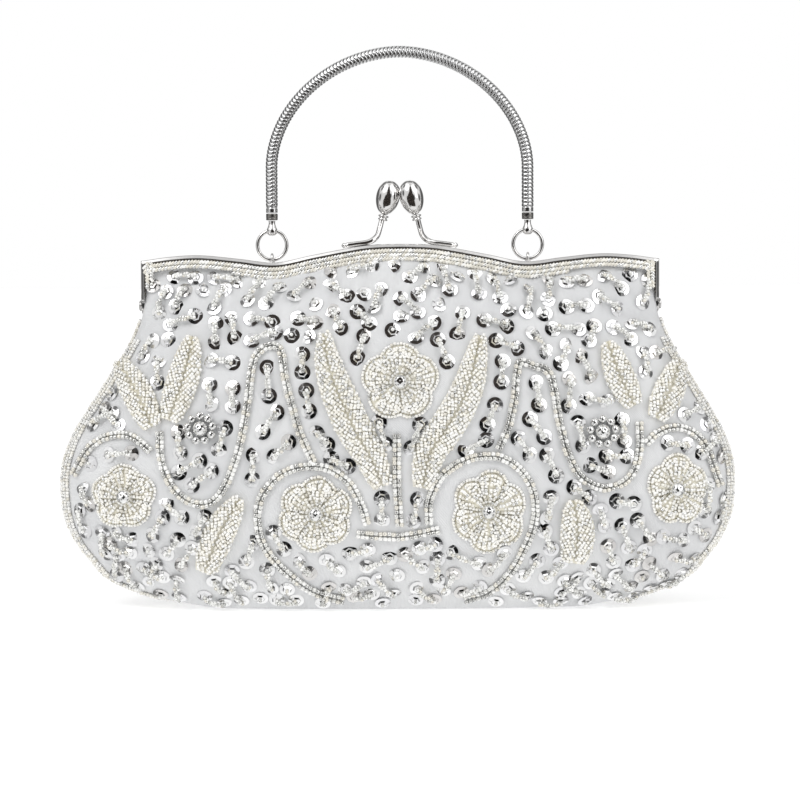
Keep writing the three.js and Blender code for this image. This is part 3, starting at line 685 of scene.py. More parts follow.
def closed_sheet(outer, inner, wrap=False):
    """Two (rows, columns, 3) layers joined round their edges. A wrapped sheet closes on itself
    from its last column to its first."""
    rows, columns = outer.shape[:2]
    n = rows * columns
    front = ring_faces(rows, columns, closed_around=wrap)
    first, last = np.arange(columns), (rows - 1) * columns + np.arange(columns)[::-1]
    if wrap:
        borders = [first, last]
    else:
        right = np.arange(1, rows - 1) * columns + columns - 1
        left = np.arange(rows - 2, 0, -1) * columns
        borders = [np.concatenate([first, right, last, left])]
    edges = [np.stack([b, b + n, np.roll(b, -1) + n, np.roll(b, -1)], -1) for b in borders]
    faces = [front, front[:, ::-1] + n] + edges
    points = np.concatenate([outer.reshape(-1, 3), inner.reshape(-1, 3)])
    a, b, c = (points[front[:, k]] for k in range(3))
    facing = np.cross(b - a, c - b) * (points[front[:, 0]] - points[front[:, 0] + n])
    if facing.sum() < 0:
        faces = [f[:, ::-1] for f in faces]
    return points, faces


def circle(radius, around=12):
    angle = np.arange(around) * 2 * math.pi / around
    return np.stack([radius * np.cos(angle), radius * np.sin(angle)], -1)


def curve_through(points, count=200):
    """A smooth line through the points, at even steps along it."""
    points = np.asarray(points, float)
    padded = np.concatenate([[2 * points[0] - points[1]], points, [2 * points[-1] - points[-2]]])
    fine = []
    for a, b, c, d in zip(padded, padded[1:], padded[2:], padded[3:]):
        t = np.linspace(0, 1, 24, endpoint=False)[:, None]
        fine.append(0.5 * (2 * b + (c - a) * t + (2 * a - 5 * b + 4 * c - d) * t**2
                           + (3 * b - a - 3 * c + d) * t**3))
    fine = np.concatenate(fine + [points[-1:]])
    return at_steps(fine, count)


def at_steps(line, count):
    """The line again with count points, evenly spaced along it."""
    along = np.concatenate([[0], np.cumsum(np.linalg.norm(np.diff(line, axis=0), axis=1))])
    steps = np.linspace(0, along[-1], count)
    return np.stack([np.interp(steps, along, line[:, k]) for k in range(line.shape[1])], -1)


def length_of(line):
    return float(np.linalg.norm(np.diff(line, axis=0), axis=1).sum())


def smooth_step(value, low, high):
    t = np.clip((value - low) / (high - low), 0, 1)
    return t * t * (3 - 2 * t)


# ---------------------------------------------------------------- the bag's surface


def smooth_table(xs, ys):
    """A smooth curve through a table, sampled finely."""
    xs, ys = np.array(xs, float), np.array(ys, float)
    slopes = np.gradient(ys, xs)
    fine = np.linspace(xs[0], xs[-1], 900)
    i = np.clip(np.searchsorted(xs, fine, side="right") - 1, 0, len(xs) - 2)
    h = xs[i + 1] - xs[i]
    t = (fine - xs[i]) / h
    value = ((1 + 2 * t) * (1 - t) ** 2 * ys[i] + t * (1 - t) ** 2 * h * slopes[i]
             + t * t * (3 - 2 * t) * ys[i + 1] + t * t * (t - 1) * h * slopes[i + 1])
    return fine, value


LEVELS, WIDTHS = smooth_table([s[0] for s in STATIONS], [s[1] for s in STATIONS])
_, DEPTHS = smooth_table([s[0] for s in STATIONS], [s[2] for s in STATIONS])
FRAME_LINE = curve_through([(-x, z) for x, z in FRAME_TOP[:0:-1]] + FRAME_TOP, 400)


def frame_top(x):
    return np.interp(x, FRAME_LINE[:, 0], FRAME_LINE[:, 1])


def level_to_z(level, x):
    raised = SLEEVE + (level - SLEEVE) * (frame_top(x) - TOP_DROP - SLEEVE) / (TOP_LEVEL - SLEEVE)
    return np.where(level > SLEEVE, raised, level)


def z_to_level(z, x):
    lowered = SLEEVE + (z - SLEEVE) * (TOP_LEVEL - SLEEVE) / (frame_top(x) - TOP_DROP - SLEEVE)
    return np.where(z > SLEEVE, lowered, z)


WAVES = [(RNG.uniform(0.03, 0.10), RNG.uniform(0.03, 0.10), RNG.uniform(0, 6.28),
          RNG.choice([-1, 1])) for _ in range(WAVE_COUNT)]


def ripple(side, x, level):
    """How far the satin stands out: gathers under the frame and slow puckers below them."""
    slow = sum(np.sin(kx * x + sign * kz * level + phase + 2 * side)
               for kx, kz, phase, sign in WAVES) * 2 / WAVE_COUNT
    folds = (np.sin(x * 0.62 + 1.3 * np.sin(x * 0.11 + side))
             + 0.6 * np.sin(x * 0.97 + 2 * np.sin(x * 0.07)))
    gather = smooth_step(level, *GATHER_IN) * (1 - smooth_step(level, *GATHER_OUT))
    edge = 1 - smooth_step(level, 130, 136)
    low = smooth_step(level, 0, 8)
    return 0.55 * slow * edge * low + 0.5 * folds * gather


def sway(level):
    """The soft body hangs a little to the left of its frame."""
    return SWAY * (1 - smooth_step(level, *SWAY_FADE))


def satin_point(side, phi, level):
    """A point of the satin: phi runs from 0 at the right seam to pi at the left one."""
    width = np.interp(level, LEVELS, WIDTHS)
    depth = np.interp(level, LEVELS, DEPTHS)
    power = 2 / SECTION_POWER
    cosine, sine = np.cos(phi), np.maximum(np.sin(phi), 0)
    x = width * np.sign(cosine) * np.abs(cosine) ** power
    anchor = ARM_Y * smooth_step(level, *ARM_HOLD)
    out = anchor + (depth - anchor) * sine ** power + ripple(side, x, level) * sine
    return np.stack([x + sway(level), side * out, level_to_z(level, x)], -1)


def satin_normal(side, phi, level):
    step_phi, step_level = 0.02, 0.6
    a = satin_point(side, np.clip(phi + step_phi, 0.001, math.pi - 0.001), level)
    b = satin_point(side, np.clip(phi - step_phi, 0.001, math.pi - 0.001), level)
    c = satin_point(side, phi, np.minimum(level + step_level, TOP_LEVEL))
    d = satin_point(side, phi, np.maximum(level - step_level, 0))
    return unit(np.cross(a - b, c - d) * side)


def design_to_surface(x, z):
    """(phi, level) of a point of the front view."""
    x, z = np.asarray(x, float), np.asarray(z, float)
    level = np.clip(z_to_level(z, x), 0.5, TOP_LEVEL)
    width = np.interp(level, LEVELS, WIDTHS)
    x = x - sway(level)
    share = np.clip(np.abs(x) / width, 0, 0.9999) ** (SECTION_POWER / 2)
    return np.arccos(np.sign(x) * share), level


def on_satin(side, x, z, lift=0.0):
    """Points lifted off the satin at x and z, and its normals there."""
    phi, level = design_to_surface(x, z)
    normal = satin_normal(side, phi, level)
    point = satin_point(side, phi, level) + normal * np.asarray(lift)[..., None]
    return point, normal


def seen(x, z, lift=0.0):
    """Where on the front something lifted off it has to be, to show at x and z of the front view."""
    x, z = np.asarray(x, float), np.asarray(z, float)
    sine, cosine = math.sin(VIEW_ELEVATION), math.cos(VIEW_ELEVATION)
    there_x, there_z = x.copy(), z.copy()
    for _ in range(5):
        point, _ = on_satin(-1, there_x, there_z, lift)
        high = point[..., 2] - VIEW_Z
        scale = VIEW_DISTANCE / (VIEW_DISTANCE + point[..., 1] * cosine - high * sine)
        there_x = there_x + 0.8 * (x - point[..., 0] * scale)
        there_z = there_z + 0.8 * (z - VIEW_Z - (high * cosine + point[..., 1] * sine) * scale)
        limit = np.interp(there_z, LEVELS, WIDTHS) - 0.3
        there_x = np.clip(there_x, -limit, limit)
    return there_x, np.maximum(there_z, 1.5)


def axes_from(along, normal):
    """Frames whose X follows along and whose Z follows normal."""
    z = unit(normal)
    x = unit(along - (along * z).sum(-1, keepdims=True) * z)
    return np.stack([x, np.cross(z, x), z], -1)


UPRIGHT = axes_from(np.array([[0.0, 0, 1.0]]), np.array([[0.0, 1.0, 0]]))


def jittered(axes, amount):
    """The frames turned a little at random."""
    turn = RNG.normal(0, amount, (len(axes), 3))
    skew = np.zeros((len(axes), 3, 3))
    skew[:, 0, 1], skew[:, 0, 2] = -turn[:, 2], turn[:, 1]
    skew[:, 1, 0], skew[:, 1, 2] = turn[:, 2], -turn[:, 0]
    skew[:, 2, 0], skew[:, 2, 1] = -turn[:, 1], turn[:, 0]
    moved = axes + skew @ axes
    x = unit(moved[:, :, 0])
    z = unit(moved[:, :, 2] - (moved[:, :, 2] * x).sum(-1, keepdims=True) * x)
    return np.stack([x, np.cross(z, x), z], -1)


# ---------------------------------------------------------------- sewing


def sew(piece, side_name, *nodes, slot="seed_bead"):
    """The piece is sewn to one side in place of the given nodes, which are hidden; its transform
    goes into its mesh.
    """
    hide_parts(*nodes)
    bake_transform(piece)


def hold(piece, body, *nodes, slot="polished_chrome"):
    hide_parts(*nodes)
    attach(piece, body)


def string_row(pile, line, normals, shape, tint_shares, pitch=BEAD_PITCH, wander=0.07):
    """Beads threaded along a 3-D line."""
    count = max(int(round(length_of(line) / pitch)), 1)
    centres = at_steps(line, 2 * count + 1)[1::2]
    up = unit(at_steps(normals, 2 * count + 1)[1::2])
    along = np.gradient(centres, axis=0) if count > 1 else (line[-1:] - line[:1])
    axes = jittered(axes_from(along, up), 0.09)
    centres = centres + RNG.normal(0, wander, centres.shape)
    tints = RNG.choice(len(tint_shares), count, p=tint_shares)
    pile.stamp(shape, centres, axes, tints)


IVORY_MIX = [0.36, 0.24, 0.22, 0.08, 0.10]
CLEAR_MIX = [0.34, 0.38, 0.14, 0.14]
SCROLL_MIX = [0.30, 0.20, 0.26, 0.24]
# The ropes under the frame's lip take mostly champagne and silver-lined beads: partly their beige
# tone, partly painted shade under the lip.
ROPE_MIX = [0.06, 0.14, 0.10, 0.42, 0.28]
BEAD = bead_shape()
ROPE_BEAD = bead_shape(0.60, 0.98, 0.12, 10)
LONG_BEAD = bead_shape(0.84, 0.80, 0.26)


def sewn_row(pile, xs, zs, lift, shape=BEAD, mix=IVORY_MIX, pitch=BEAD_PITCH, wander=0.07):
    """A row of beads sewn to the front along a line of the front view."""
    points, normals = on_satin(-1, *seen(xs, zs, lift), lift)
    string_row(pile, points, normals, shape, mix, pitch, wander)


# ---------------------------------------------------------------- satin, lining and piping


def body_sheet(side, inset, thick, columns, rows, top=TOP_LEVEL, folded=4):
    """One side of the bag as a thin closed sheet. Below the lowest row it folds in to the seam."""
    phi, level = np.meshgrid(np.linspace(0.01, math.pi - 0.01, columns),
                             np.linspace(top, 0, rows))
    layers = []
    for depth in (inset, inset + thick):
        skin = satin_point(side, phi, level) - satin_normal(side, phi, level) * depth
        skin[..., 2] = np.maximum(skin[..., 2], BOTTOM_Z + depth)
        last = skin[-1]
        fold = []
        for k in range(1, folded + 1):
            row = last.copy()
            share = 1 - k / folded
            row[:, 1] = side * (0.15 + (np.abs(last[:, 1]) - 0.15) * share)
            row[:, 2] = BOTTOM_Z + depth
            fold.append(row)
        layers.append(np.concatenate([skin, np.stack(fold)]))
    return closed_sheet(*layers)


def add_satin(materials):
    for name, side in SIDES.items():
        pile = Pile()
        pile.add(*body_sheet(side, 0, SATIN_THICK, 240, 130))
        piece = pile.build(f"{name}_satin", materials["satin"])
        sew(piece, name, f"{name}_panel", f"{name}_gather", slot="satin")


def add_lining(materials):
    for name, side in SIDES.items():
        pile = Pile()
        pile.add(*body_sheet(side, LINING_INSET, LINING_THICK, 90, 60, top=LINING_TOP))
        piece = pile.build(f"{name}_lining", materials["lining"])
        sew(piece, name, "lining_pouch", slot="lining")


def add_pocket(materials):
    """A flat slip pocket on the rear lining, hemmed along its top."""
    columns, rows = 50, 36
    x, z = np.meshgrid(np.linspace(-POCKET_HALF_WIDTH, POCKET_HALF_WIDTH, columns),
                       np.linspace(POCKET_TOP, POCKET_BOTTOM, rows))
    sag = 0.9 * np.sin(np.pi * (z - 32) / 54) * np.cos(x * 0.03) ** 2
    layers = []
    for depth, outward in zip(POCKET_DEPTHS, (-1, 1)):
        hem = np.where(z > POCKET_HEM_Z, 0.25, 0) * outward
        layers.append(on_satin(1, x, z, -(depth + sag + hem))[0])
    pile = Pile()
    pile.add(*closed_sheet(*layers))
    piece = pile.build("slip_pocket_cloth", materials["lining"])
    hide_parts("slip_pocket")
    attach(piece, "bag")


def add_piping(materials):
    """Two rows of beads over the seam, from one hinge down and round to the other."""
    level = np.linspace(111.5, 3.2, 160)
    width = np.interp(level, LEVELS, WIDTHS)
    half = np.stack([width, np.zeros_like(width), level], -1)
    lean = np.concatenate([sway(level), np.full(5, sway(0)), sway(level)[::-1]])
    bottom = np.array([(72, 0, 1.1), (50, 0, 1.0), (0, 0, 1.0)])
    line = np.concatenate([half, bottom, (bottom * [-1, 1, 1])[-2::-1], (half * [-1, 1, 1])[::-1]])
    line[:, 0] += lean
    line = at_steps(line, 700)
    tangent = unit(np.gradient(line, axis=0))
    out = unit(np.cross(tangent, np.tile([0.0, 1.0, 0.0], (len(line), 1))))
    flat = line[:, 2] < 2.2
    out[flat] = [0, 0, -1]
    pile = Pile()
    for y in (-PIPING_OFFSET, PIPING_OFFSET):
        row = line + out * np.where(line[:, 2:] > 4, 0.55, 0)
        row[:, 1] += y
        row[:, 2] = np.maximum(row[:, 2], 0.95)
        string_row(pile, row, out, BEAD, IVORY_MIX)
    level = np.linspace(104, 5, 160)
    width = np.interp(level, LEVELS, WIDTHS)
    for side in (-1, 1):
        for hand in (-1, 1):
            for inset in PIPING_INSETS:
                x = hand * (width - inset) + sway(level)
                points, normals = on_satin(side, x, level, 0.75)
                string_row(pile, points, normals, BEAD, IVORY_MIX)
    hold(pile.build("seam_beads", materials["beads"]), "bag", "seam_piping", slot="seed_bead")


# ---------------------------------------------------------------- motifs


def add_padding(name, motif, xs, zs, rise, materials, wrap):
    """The cream cloth under a motif, seen between its beads. Its pale cream is partly painted light,
    the glow of light through the glass beads.
    """
    outer, _ = on_satin(-1, *seen(xs, zs, rise), rise)
    inner, _ = on_satin(-1, *seen(xs, zs, 0.05), 0.05)
    pile = Pile()
    pile.add(*closed_sheet(outer, inner, wrap))
    sew(pile.build(f"{name}_padding", materials["padding"]), "front", motif)


def flower_reach(angle, petals, turn):
    """The petals' outline as a share of the flower's radius."""
    return 0.83 + 0.17 * np.abs(np.cos(petals * (angle - turn) / 2)) ** 0.7


def flower_rise(t, angle, petals, turn):
    """How far the beads stand off the satin at a share t of the flower's radius."""
    puff = 0.15 + 1.8 * np.abs(np.cos(petals * (angle - turn) / 2)) ** 0.8
    return 0.75 + puff * np.sin(math.pi * np.clip(t, 0, 1) ** 1.25) ** 0.8


def add_flower(name, x, z, half_width, half_height, petals, materials):
    """A ring of petals: rows of beads from the eye to a beaded outline, over a low padding."""
    turn = math.pi / 2 if petals == 5 else 0.4

    def spot(t, angle):
        return x + half_width * t * np.cos(angle), z + half_height * t * np.sin(angle)

    share, angle = np.meshgrid(np.linspace(0.03, 1, 16), np.linspace(0, 2 * math.pi, 97)[:-1],
                               indexing="ij")
    t = share * (flower_reach(angle, petals, turn) - 0.05)
    rise = np.maximum((flower_rise(t, angle, petals, turn) - 0.6) * (1 - share**8), 0.12)
    add_padding(name, f"flower_{name}", *spot(t, angle), rise, materials, True)

    pile = Pile()
    angle = np.linspace(0, 2 * math.pi, 160)
    sewn_row(pile, *spot(flower_reach(angle, petals, turn) - 0.045, angle), 0.75)
    spokes = int(2 * math.pi * 0.95 * half_width / ROW_SPACING / 4) * 4
    for k in range(spokes):
        a = 2 * math.pi * (k + RNG.normal(0, 0.08)) / spokes
        start = (0.20, 0.62, 0.40, 0.62)[k % 4]
        end = float(flower_reach(a, petals, turn)) - 0.12
        t = np.linspace(start, end, 30)
        petal = math.sin(petals * (a - turn))
        bent = a + 0.13 * petal / petals * np.sin(math.pi * t) + 0.02 * RNG.normal()
        sewn_row(pile, *spot(t, bent), flower_rise(t, bent, petals, turn), wander=0.15)
    sew(pile.build(f"{name}_petals", materials["beads"]), "front", f"flower_{name}")
    pile = Pile()
    place, normal = on_satin(-1, *seen([x], [z], EYE_LIFT), EYE_LIFT)
    pile.stamp(ball_shape(EYE_R), place, axes_from(normal, np.array([[0.0, 0.3, 1.0]])))
    piece = pile.build(f"{name}_eye", materials["silver"])
    sew(piece, "front", f"flower_{name}_ball", slot="silver_bead")


def leaf_width(t, half_width):
    """Half width of a leaf from its round foot, t = 0, to its tip, t = 1."""
    return half_width * np.sin(math.pi * np.clip(0.08 + 0.90 * t, 0, 1) ** 0.95) ** 0.45


def leaf_rise(share):
    """How far the beads stand off the satin from the spine, 0, to the leaf's edge, 1."""
    return 0.65 + 1.7 * np.sin(math.pi * np.clip(share, 0.02, 0.97)) ** 0.8


def add_leaf(name, spine, half_width, materials):
    """Rows of beads slanting out from the spine on both sides, over a low padding."""
    count = 200
    line = curve_through(spine, count)
    tangent = unit(np.gradient(line, axis=0))
    across = np.stack([tangent[:, 1], -tangent[:, 0]], -1)
    length = length_of(line)

    def spot(t, w):
        i = np.clip(t, 0, 1) * (count - 1)
        steps = np.arange(count)
        px = np.interp(i, steps, line[:, 0]) + w * np.interp(i, steps, across[:, 0])
        pz = np.interp(i, steps, line[:, 1]) + w * np.interp(i, steps, across[:, 1])
        return px, pz

    t, share = np.meshgrid(np.linspace(0.01, 0.985, 50), np.linspace(-1, 1, 19), indexing="ij")
    wide = np.maximum(leaf_width(t, half_width) - 0.35, 0.2)
    rise = np.maximum((leaf_rise(np.abs(share)) - 0.6) * (1 - np.abs(share) ** 8), 0.12)
    add_padding(name, f"leaf_{name}", *spot(t, share * wide), rise, materials, False)

    pile = Pile()
    step = ROW_SPACING / math.sin(LEAF_SLANT)
    for hand in (-1, 1):
        for start in np.arange(-5 * step, length, step) + (0.5 * step if hand > 0 else 0):
            s = start + np.linspace(0, half_width / math.tan(LEAF_SLANT) * 1.15, 80)
            w = 0.5 + (s - start) * math.tan(LEAF_SLANT)
            keep = (s > 0.2) & (s < length) & (w < leaf_width(s / length, half_width) - 0.4)
            if keep.sum() < 7:
                continue
            s, w = s[keep], w[keep]
            share = w / np.maximum(leaf_width(s / length, half_width), 1)
            sewn_row(pile, *spot(s / length, hand * w), leaf_rise(share), wander=0.13)
    sew(pile.build(f"{name}_leaf", materials["beads"]), "front", f"leaf_{name}")


def add_ball_flower(name, x, z, materials):
    """A large silver ball in a ring of nine small ones."""
    pile = Pile()
    angles = np.arange(9) * 2 * math.pi / 9 + 0.2
    ring = seen(x + BALL_RING_R * np.cos(angles), z + BALL_RING_R * np.sin(angles), SMALL_BALL_LIFT)
    place, normal = on_satin(-1, *ring, SMALL_BALL_LIFT)
    centre, facing = on_satin(-1, *seen([x], [z], LARGE_BALL_LIFT), LARGE_BALL_LIFT)
    pile.stamp(ball_shape(SMALL_BALL_R, 14, 9), place, axes_from(place - centre, normal))
    pile.stamp(ball_shape(LARGE_BALL_R), centre, axes_from(facing, np.array([[0.0, 0.3, 1.0]])))
    piece = pile.build(f"{name}_ball_flower", materials["silver"])
    sew(piece, "front", f"ball_flower_{name}", slot="silver_bead")


def add_scroll(name, points, materials):
    """Two rows of longer beads side by side."""
    pile = Pile()
    line = curve_through(points, 400)
    tangent = unit(np.gradient(line, axis=0))
    across = np.stack([tangent[:, 1], -tangent[:, 0]], -1)
    for offset in (-SCROLL_OFFSET, SCROLL_OFFSET):
        row = line + across * offset
        sewn_row(pile, row[:, 0], row[:, 1], SCROLL_LIFT, LONG_BEAD, SCROLL_MIX, SCROLL_PITCH)
    sew(pile.build(f"{name}_scroll", materials["clear_beads"]), "front", f"scroll_{name}")


def add_motifs(materials):
    for name, flower in FLOWERS.items():
        add_flower(name, *flower, materials)
    for name, (spine, half_width) in LEAVES.items():
        add_leaf(name, spine, half_width, materials)
    for name, (x, z) in BALL_FLOWERS.items():
        add_ball_flower(name, x, z, materials)
    for name, points in SCROLLS.items():
        add_scroll(name, points, materials)


# ---------------------------------------------------------------- sequins


class Taken:
    """The places of a side that something is already sewn to."""

    def __init__(self, side):
        self.side = side
        self.points = np.zeros((0, 3))
        self.reach = np.zeros(0)

    def take(self, x, z, reach):
        points, _ = on_satin(self.side, x, z)
        self.take_points(points, reach)

    def take_points(self, points, reach):
        self.points = np.concatenate([self.points, points])
        self.reach = np.concatenate([self.reach, np.broadcast_to(reach, len(points))])

    def is_free(self, point, gap):
        away = np.linalg.norm(self.points - point, axis=1)
        return bool((away > self.reach + gap).all())


def take_motifs(taken):
    for x, z, half_width, half_height, _ in FLOWERS.values():
        taken.take(*seen([x], [z]), max(half_width, half_height))
    for spine, half_width in LEAVES.values():
        line = curve_through(spine, 40)
        wide = leaf_width(np.linspace(0, 1, 40), half_width)
        taken.take(*seen(line[:, 0], line[:, 1]), wide)
    for x, z in BALL_FLOWERS.values():
        taken.take(*seen([x], [z]), 6.4)
    for points in SCROLLS.values():
        line = curve_through(points, 90)
        taken.take(*seen(line[:, 0], line[:, 1]), 1.5)


def dense(side, x, z):
    """Where the sequins lie close together."""
    width = np.interp(z, LEVELS, WIDTHS)
    close = (z > 103) | (z < 31) | (np.abs(x) > SIDE_X) | (np.abs(x) > width - 14)
    inside = (z > 3) & (z < frame_top(x) - 7.6) & (np.abs(x) < np.where(z > 113, 96, width - 4.4))
    return inside & (close | (side > 0))


def random_spots(side, count):
    """Candidate places: x, z and the point on the satin."""
    phi = RNG.uniform(0.06, math.pi - 0.06, count)
    level = RNG.uniform(2.5, 130, count)
    point = satin_point(side, phi, level)
    x, z = point[:, 0], point[:, 2]
    keep = dense(side, x, z)
    return x[keep], z[keep], point[keep]


def choose_pairs(side):
    """Pairs read off the front, then random pairs and single sequins in the close parts."""
    taken = Taken(side)
    pairs, singles = [], []
    if side < 0:
        take_motifs(taken)
        ends = np.array(PAIRS)
        x, z = seen(ends[:, [0, 2]], ends[:, [1, 3]], 0.8)
        pairs = list(np.stack([x[:, 0], z[:, 0], x[:, 1], z[:, 1]], -1))
        taken.take(x.ravel(), z.ravel(), SEQUIN_R)
    x, z, point = random_spots(side, PAIR_TRIES)
    turn = RNG.uniform(0, 2 * math.pi, len(x))
    far = RNG.uniform(*PAIR_LENGTH, len(x))
    x2, z2 = x + far * np.cos(turn), z + far * np.sin(turn)
    z2 = np.maximum(z2, 2.5)
    fits = dense(side, x2, z2)
    point2, _ = on_satin(side, x2, z2)
    gap = np.where((z < LOW_Z) | (np.abs(x) > SIDE_X), CROWDED_GAP, SEQUIN_GAP)
    for k in np.flatnonzero(fits):
        if taken.is_free(point[k], gap[k]) and taken.is_free(point2[k], gap[k]):
            pairs.append((x[k], z[k], x2[k], z2[k]))
            taken.take_points(np.array([point[k], point2[k]]), SEQUIN_R)
    x, z, point = random_spots(side, SINGLE_TRIES)
    for k in range(len(x)):
        if taken.is_free(point[k], SEQUIN_GAP):
            singles.append((x[k], z[k]))
            taken.take_points(point[k:k + 1], SEQUIN_R)
    return pairs, singles


def add_string(pile, side, x0, z0, x1, z1):
    """Two strands of small beads, twisted together, arched from one sequin's hole to the next."""
    t = np.linspace(-0.05, 1.05, 30)
    rise = 1.55 + 0.9 * np.sin(math.pi * np.clip(t, 0, 1))
    path, normal = on_satin(side, x0 + (x1 - x0) * t, z0 + (z1 - z0) * t, rise)
    sideways = unit(np.cross(unit(np.gradient(path, axis=0)), normal))
    turn = (2.2 * t + RNG.uniform(0, 1))[:, None] * math.pi
    for phase in (0, math.pi):
        strand = path + 0.60 * (np.cos(turn + phase) * sideways
                                + 0.6 * np.sin(turn + phase) * normal)
        string_row(pile, strand, normal, BEAD, CLEAR_MIX, 1.16, 0.1)


def add_sequins(materials):
    sequin = sequin_shape()
    for name, side in SIDES.items():
        pairs, singles = choose_pairs(side)
        ends = np.array([p[:2] for p in pairs] + [p[2:] for p in pairs] + singles)
        place, normal = on_satin(side, ends[:, 0], ends[:, 1], 0.32)
        spin = RNG.normal(0, 1, place.shape)
        axes = axes_from(spin, normal + RNG.normal(0, 0.13, normal.shape))
        tints = RNG.choice(3, len(place), p=[0.55, 0.3, 0.15])
        pile = Pile()
        pile.stamp(sequin, place, axes, tints, smooth=False)
        piece = pile.build(f"{name}_sequins", materials["sequins"])
        sew(piece, name, f"{name}_sequin_field", slot="sequins")
        pile = Pile()
        for x0, z0, x1, z1 in pairs:
            add_string(pile, side, x0, z0, x1, z1)
        lone, facing = on_satin(side, *np.array(singles).T, 1.7)
        axes = axes_from(RNG.normal(0, 1, lone.shape), facing)
        pile.stamp(BEAD, lone, axes, RNG.choice(4, len(lone), p=CLEAR_MIX))
        piece = pile.build(f"{name}_bead_strings", materials["clear_beads"])
        sew(piece, name, f"{name}_sequin_field")


# ---------------------------------------------------------------- frame and clasp


def frame_rings(foot):
    """Points of the outline with the direction to measure depth in, mitred at the corners."""
    corner = float(frame_top(FRAME_HALF_WIDTH))
    arm = [(-FRAME_HALF_WIDTH, z) for z in np.linspace(foot, corner, 12)[:-1]]
    top = FRAME_LINE[np.abs(FRAME_LINE[:, 0]) < FRAME_HALF_WIDTH - 0.6][::3]
    line = np.array(arm + [(-FRAME_HALF_WIDTH, corner)] + list(top)
                    + [(FRAME_HALF_WIDTH, corner)] + [(-x, z) for x, z in arm[::-1]])
    before = unit(np.diff(line, axis=0, prepend=line[:1] - (line[1:2] - line[:1])))
    after = unit(np.diff(line, axis=0, append=line[-1:] + (line[-1:] - line[-2:-1])))
    inward_before = np.stack([before[:, 1], -before[:, 0]], -1)
    inward_after = np.stack([after[:, 1], -after[:, 0]], -1)
    mitre = unit(inward_before + inward_after)
    mitre /= np.maximum((mitre * inward_before).sum(-1, keepdims=True), 0.3)
    return line, mitre


def channel_profile():
    """The frame's section, (depth, y): a rounded channel open downwards."""
    near, far = FRAME_NEAR, FRAME_FAR
    return [
        (1.3, far - 0.75), (0.95, far - 0.8), (0.9, near + 0.85), (1.6, near + 0.8),
        (4.4, near + 0.75), (4.5, near + 0.4), (4.4, near + 0.05), (1.0, near),
        (0.35, near + 0.1), (0.08, near + 0.5), (0, near + 1.2), (0, far - 1.6),
        (0.05, far - 1.1), (0.2, far - 0.78), (0.35, far - 0.64), (0.42, far - 0.59),
        (1.08, far - 0.1), (1.16, far - 0.04), (1.26, far), (1.36, far - 0.12),
        (1.4, far - 0.4), (1.4, far - 0.7),
    ]


def channel_pile(side):
    """The metal of one frame half: the channel and its two hinge ears."""
    line, mitre = frame_rings(ARM_BOTTOM)
    profile = np.array(channel_profile())
    points = np.empty((len(line), len(profile), 3))
    points[..., 0] = line[:, None, 0] + mitre[:, None, 0] * profile[:, 0]
    points[..., 1] = side * profile[:, 1]
    points[..., 2] = line[:, None, 1] + mitre[:, None, 1] * profile[:, 0]
    sides = ring_faces(len(line), len(profile))
    first = np.arange(len(profile))[None, ::-1]
    final = (len(line) - 1) * len(profile) + np.arange(len(profile))[None]
    faces = [sides, first, final]
    if side > 0:
        faces = [f[:, ::-1] for f in faces]
    pile = Pile()
    pile.add(points.reshape(-1, 3), faces)
    for hand in (-1, 1):
        inner = FRAME_HALF_WIDTH - EAR_THICK if side < 0 else EAR_INNER_X
        add_ear(pile, hand, side, inner)
    return pile


def add_ear(pile, hand, side, inner):
    """A rounded eye round the hinge pin with a strap up into the arm, softened at its edges."""
    angles = np.linspace(math.radians(38), math.radians(-205), 26)
    near, far, top = side * 0.8, side * 5.1, HINGE_Z + 6.0
    outline = [(near, top), (far, top), (far, HINGE_Z + 3.4)]
    outline += [(side * EAR_R * math.cos(a), HINGE_Z + EAR_R * math.sin(a)) for a in angles]
    outline = np.array(outline)
    middle = outline.mean(axis=0)
    rings = []
    for x, shrink in ((0, 0.16), (0.18, 0), (EAR_THICK - 0.18, 0), (EAR_THICK, 0.16)):
        inward = unit(middle - outline)
        ring = outline + inward * shrink
        rings.append(np.column_stack([np.full(len(ring), hand * (inner + x)), ring]))
    points = np.concatenate(rings)
    n = len(outline)
    faces = [ring_faces(4, n), np.arange(n)[None, ::-1], 3 * n + np.arange(n)[None]]
    if hand * side > 0:
        faces = [f[:, ::-1] for f in faces]
    pile.add(points, faces, smooth=False)


def add_frame_half(name, side, materials):
    piece = channel_pile(side).build(f"{name}_frame_metal", materials["chrome"])
    hold(piece, f"{name}_frame", f"{name}_frame_channel")
    add_frame_trim(name, side, materials)


def rope_line(side, depth, foot, y):
    line, mitre = frame_rings(foot)
    flat = line + mitre * depth
    path = np.column_stack([flat[:, 0], np.full(len(flat), side * y), flat[:, 1]])
    return at_steps(path, 900)


def lay_rope(pile, path, side):
    """A twisted rope: long beads lying aslant, one against the next."""
    centres = at_steps(path, int(length_of(path) / ROPE_PITCH))
    along = unit(np.gradient(centres, axis=0))
    outward = np.tile([0.0, float(side), 0.0], (len(centres), 1))
    across = np.cross(outward, along)
    aslant = along * math.cos(ROPE_SLANT) + across * math.sin(ROPE_SLANT)
    tints = RNG.choice(len(ROPE_MIX), len(centres), p=ROPE_MIX)
    pile.stamp(ROPE_BEAD, centres, jittered(axes_from(aslant, outward), 0.08), tints)


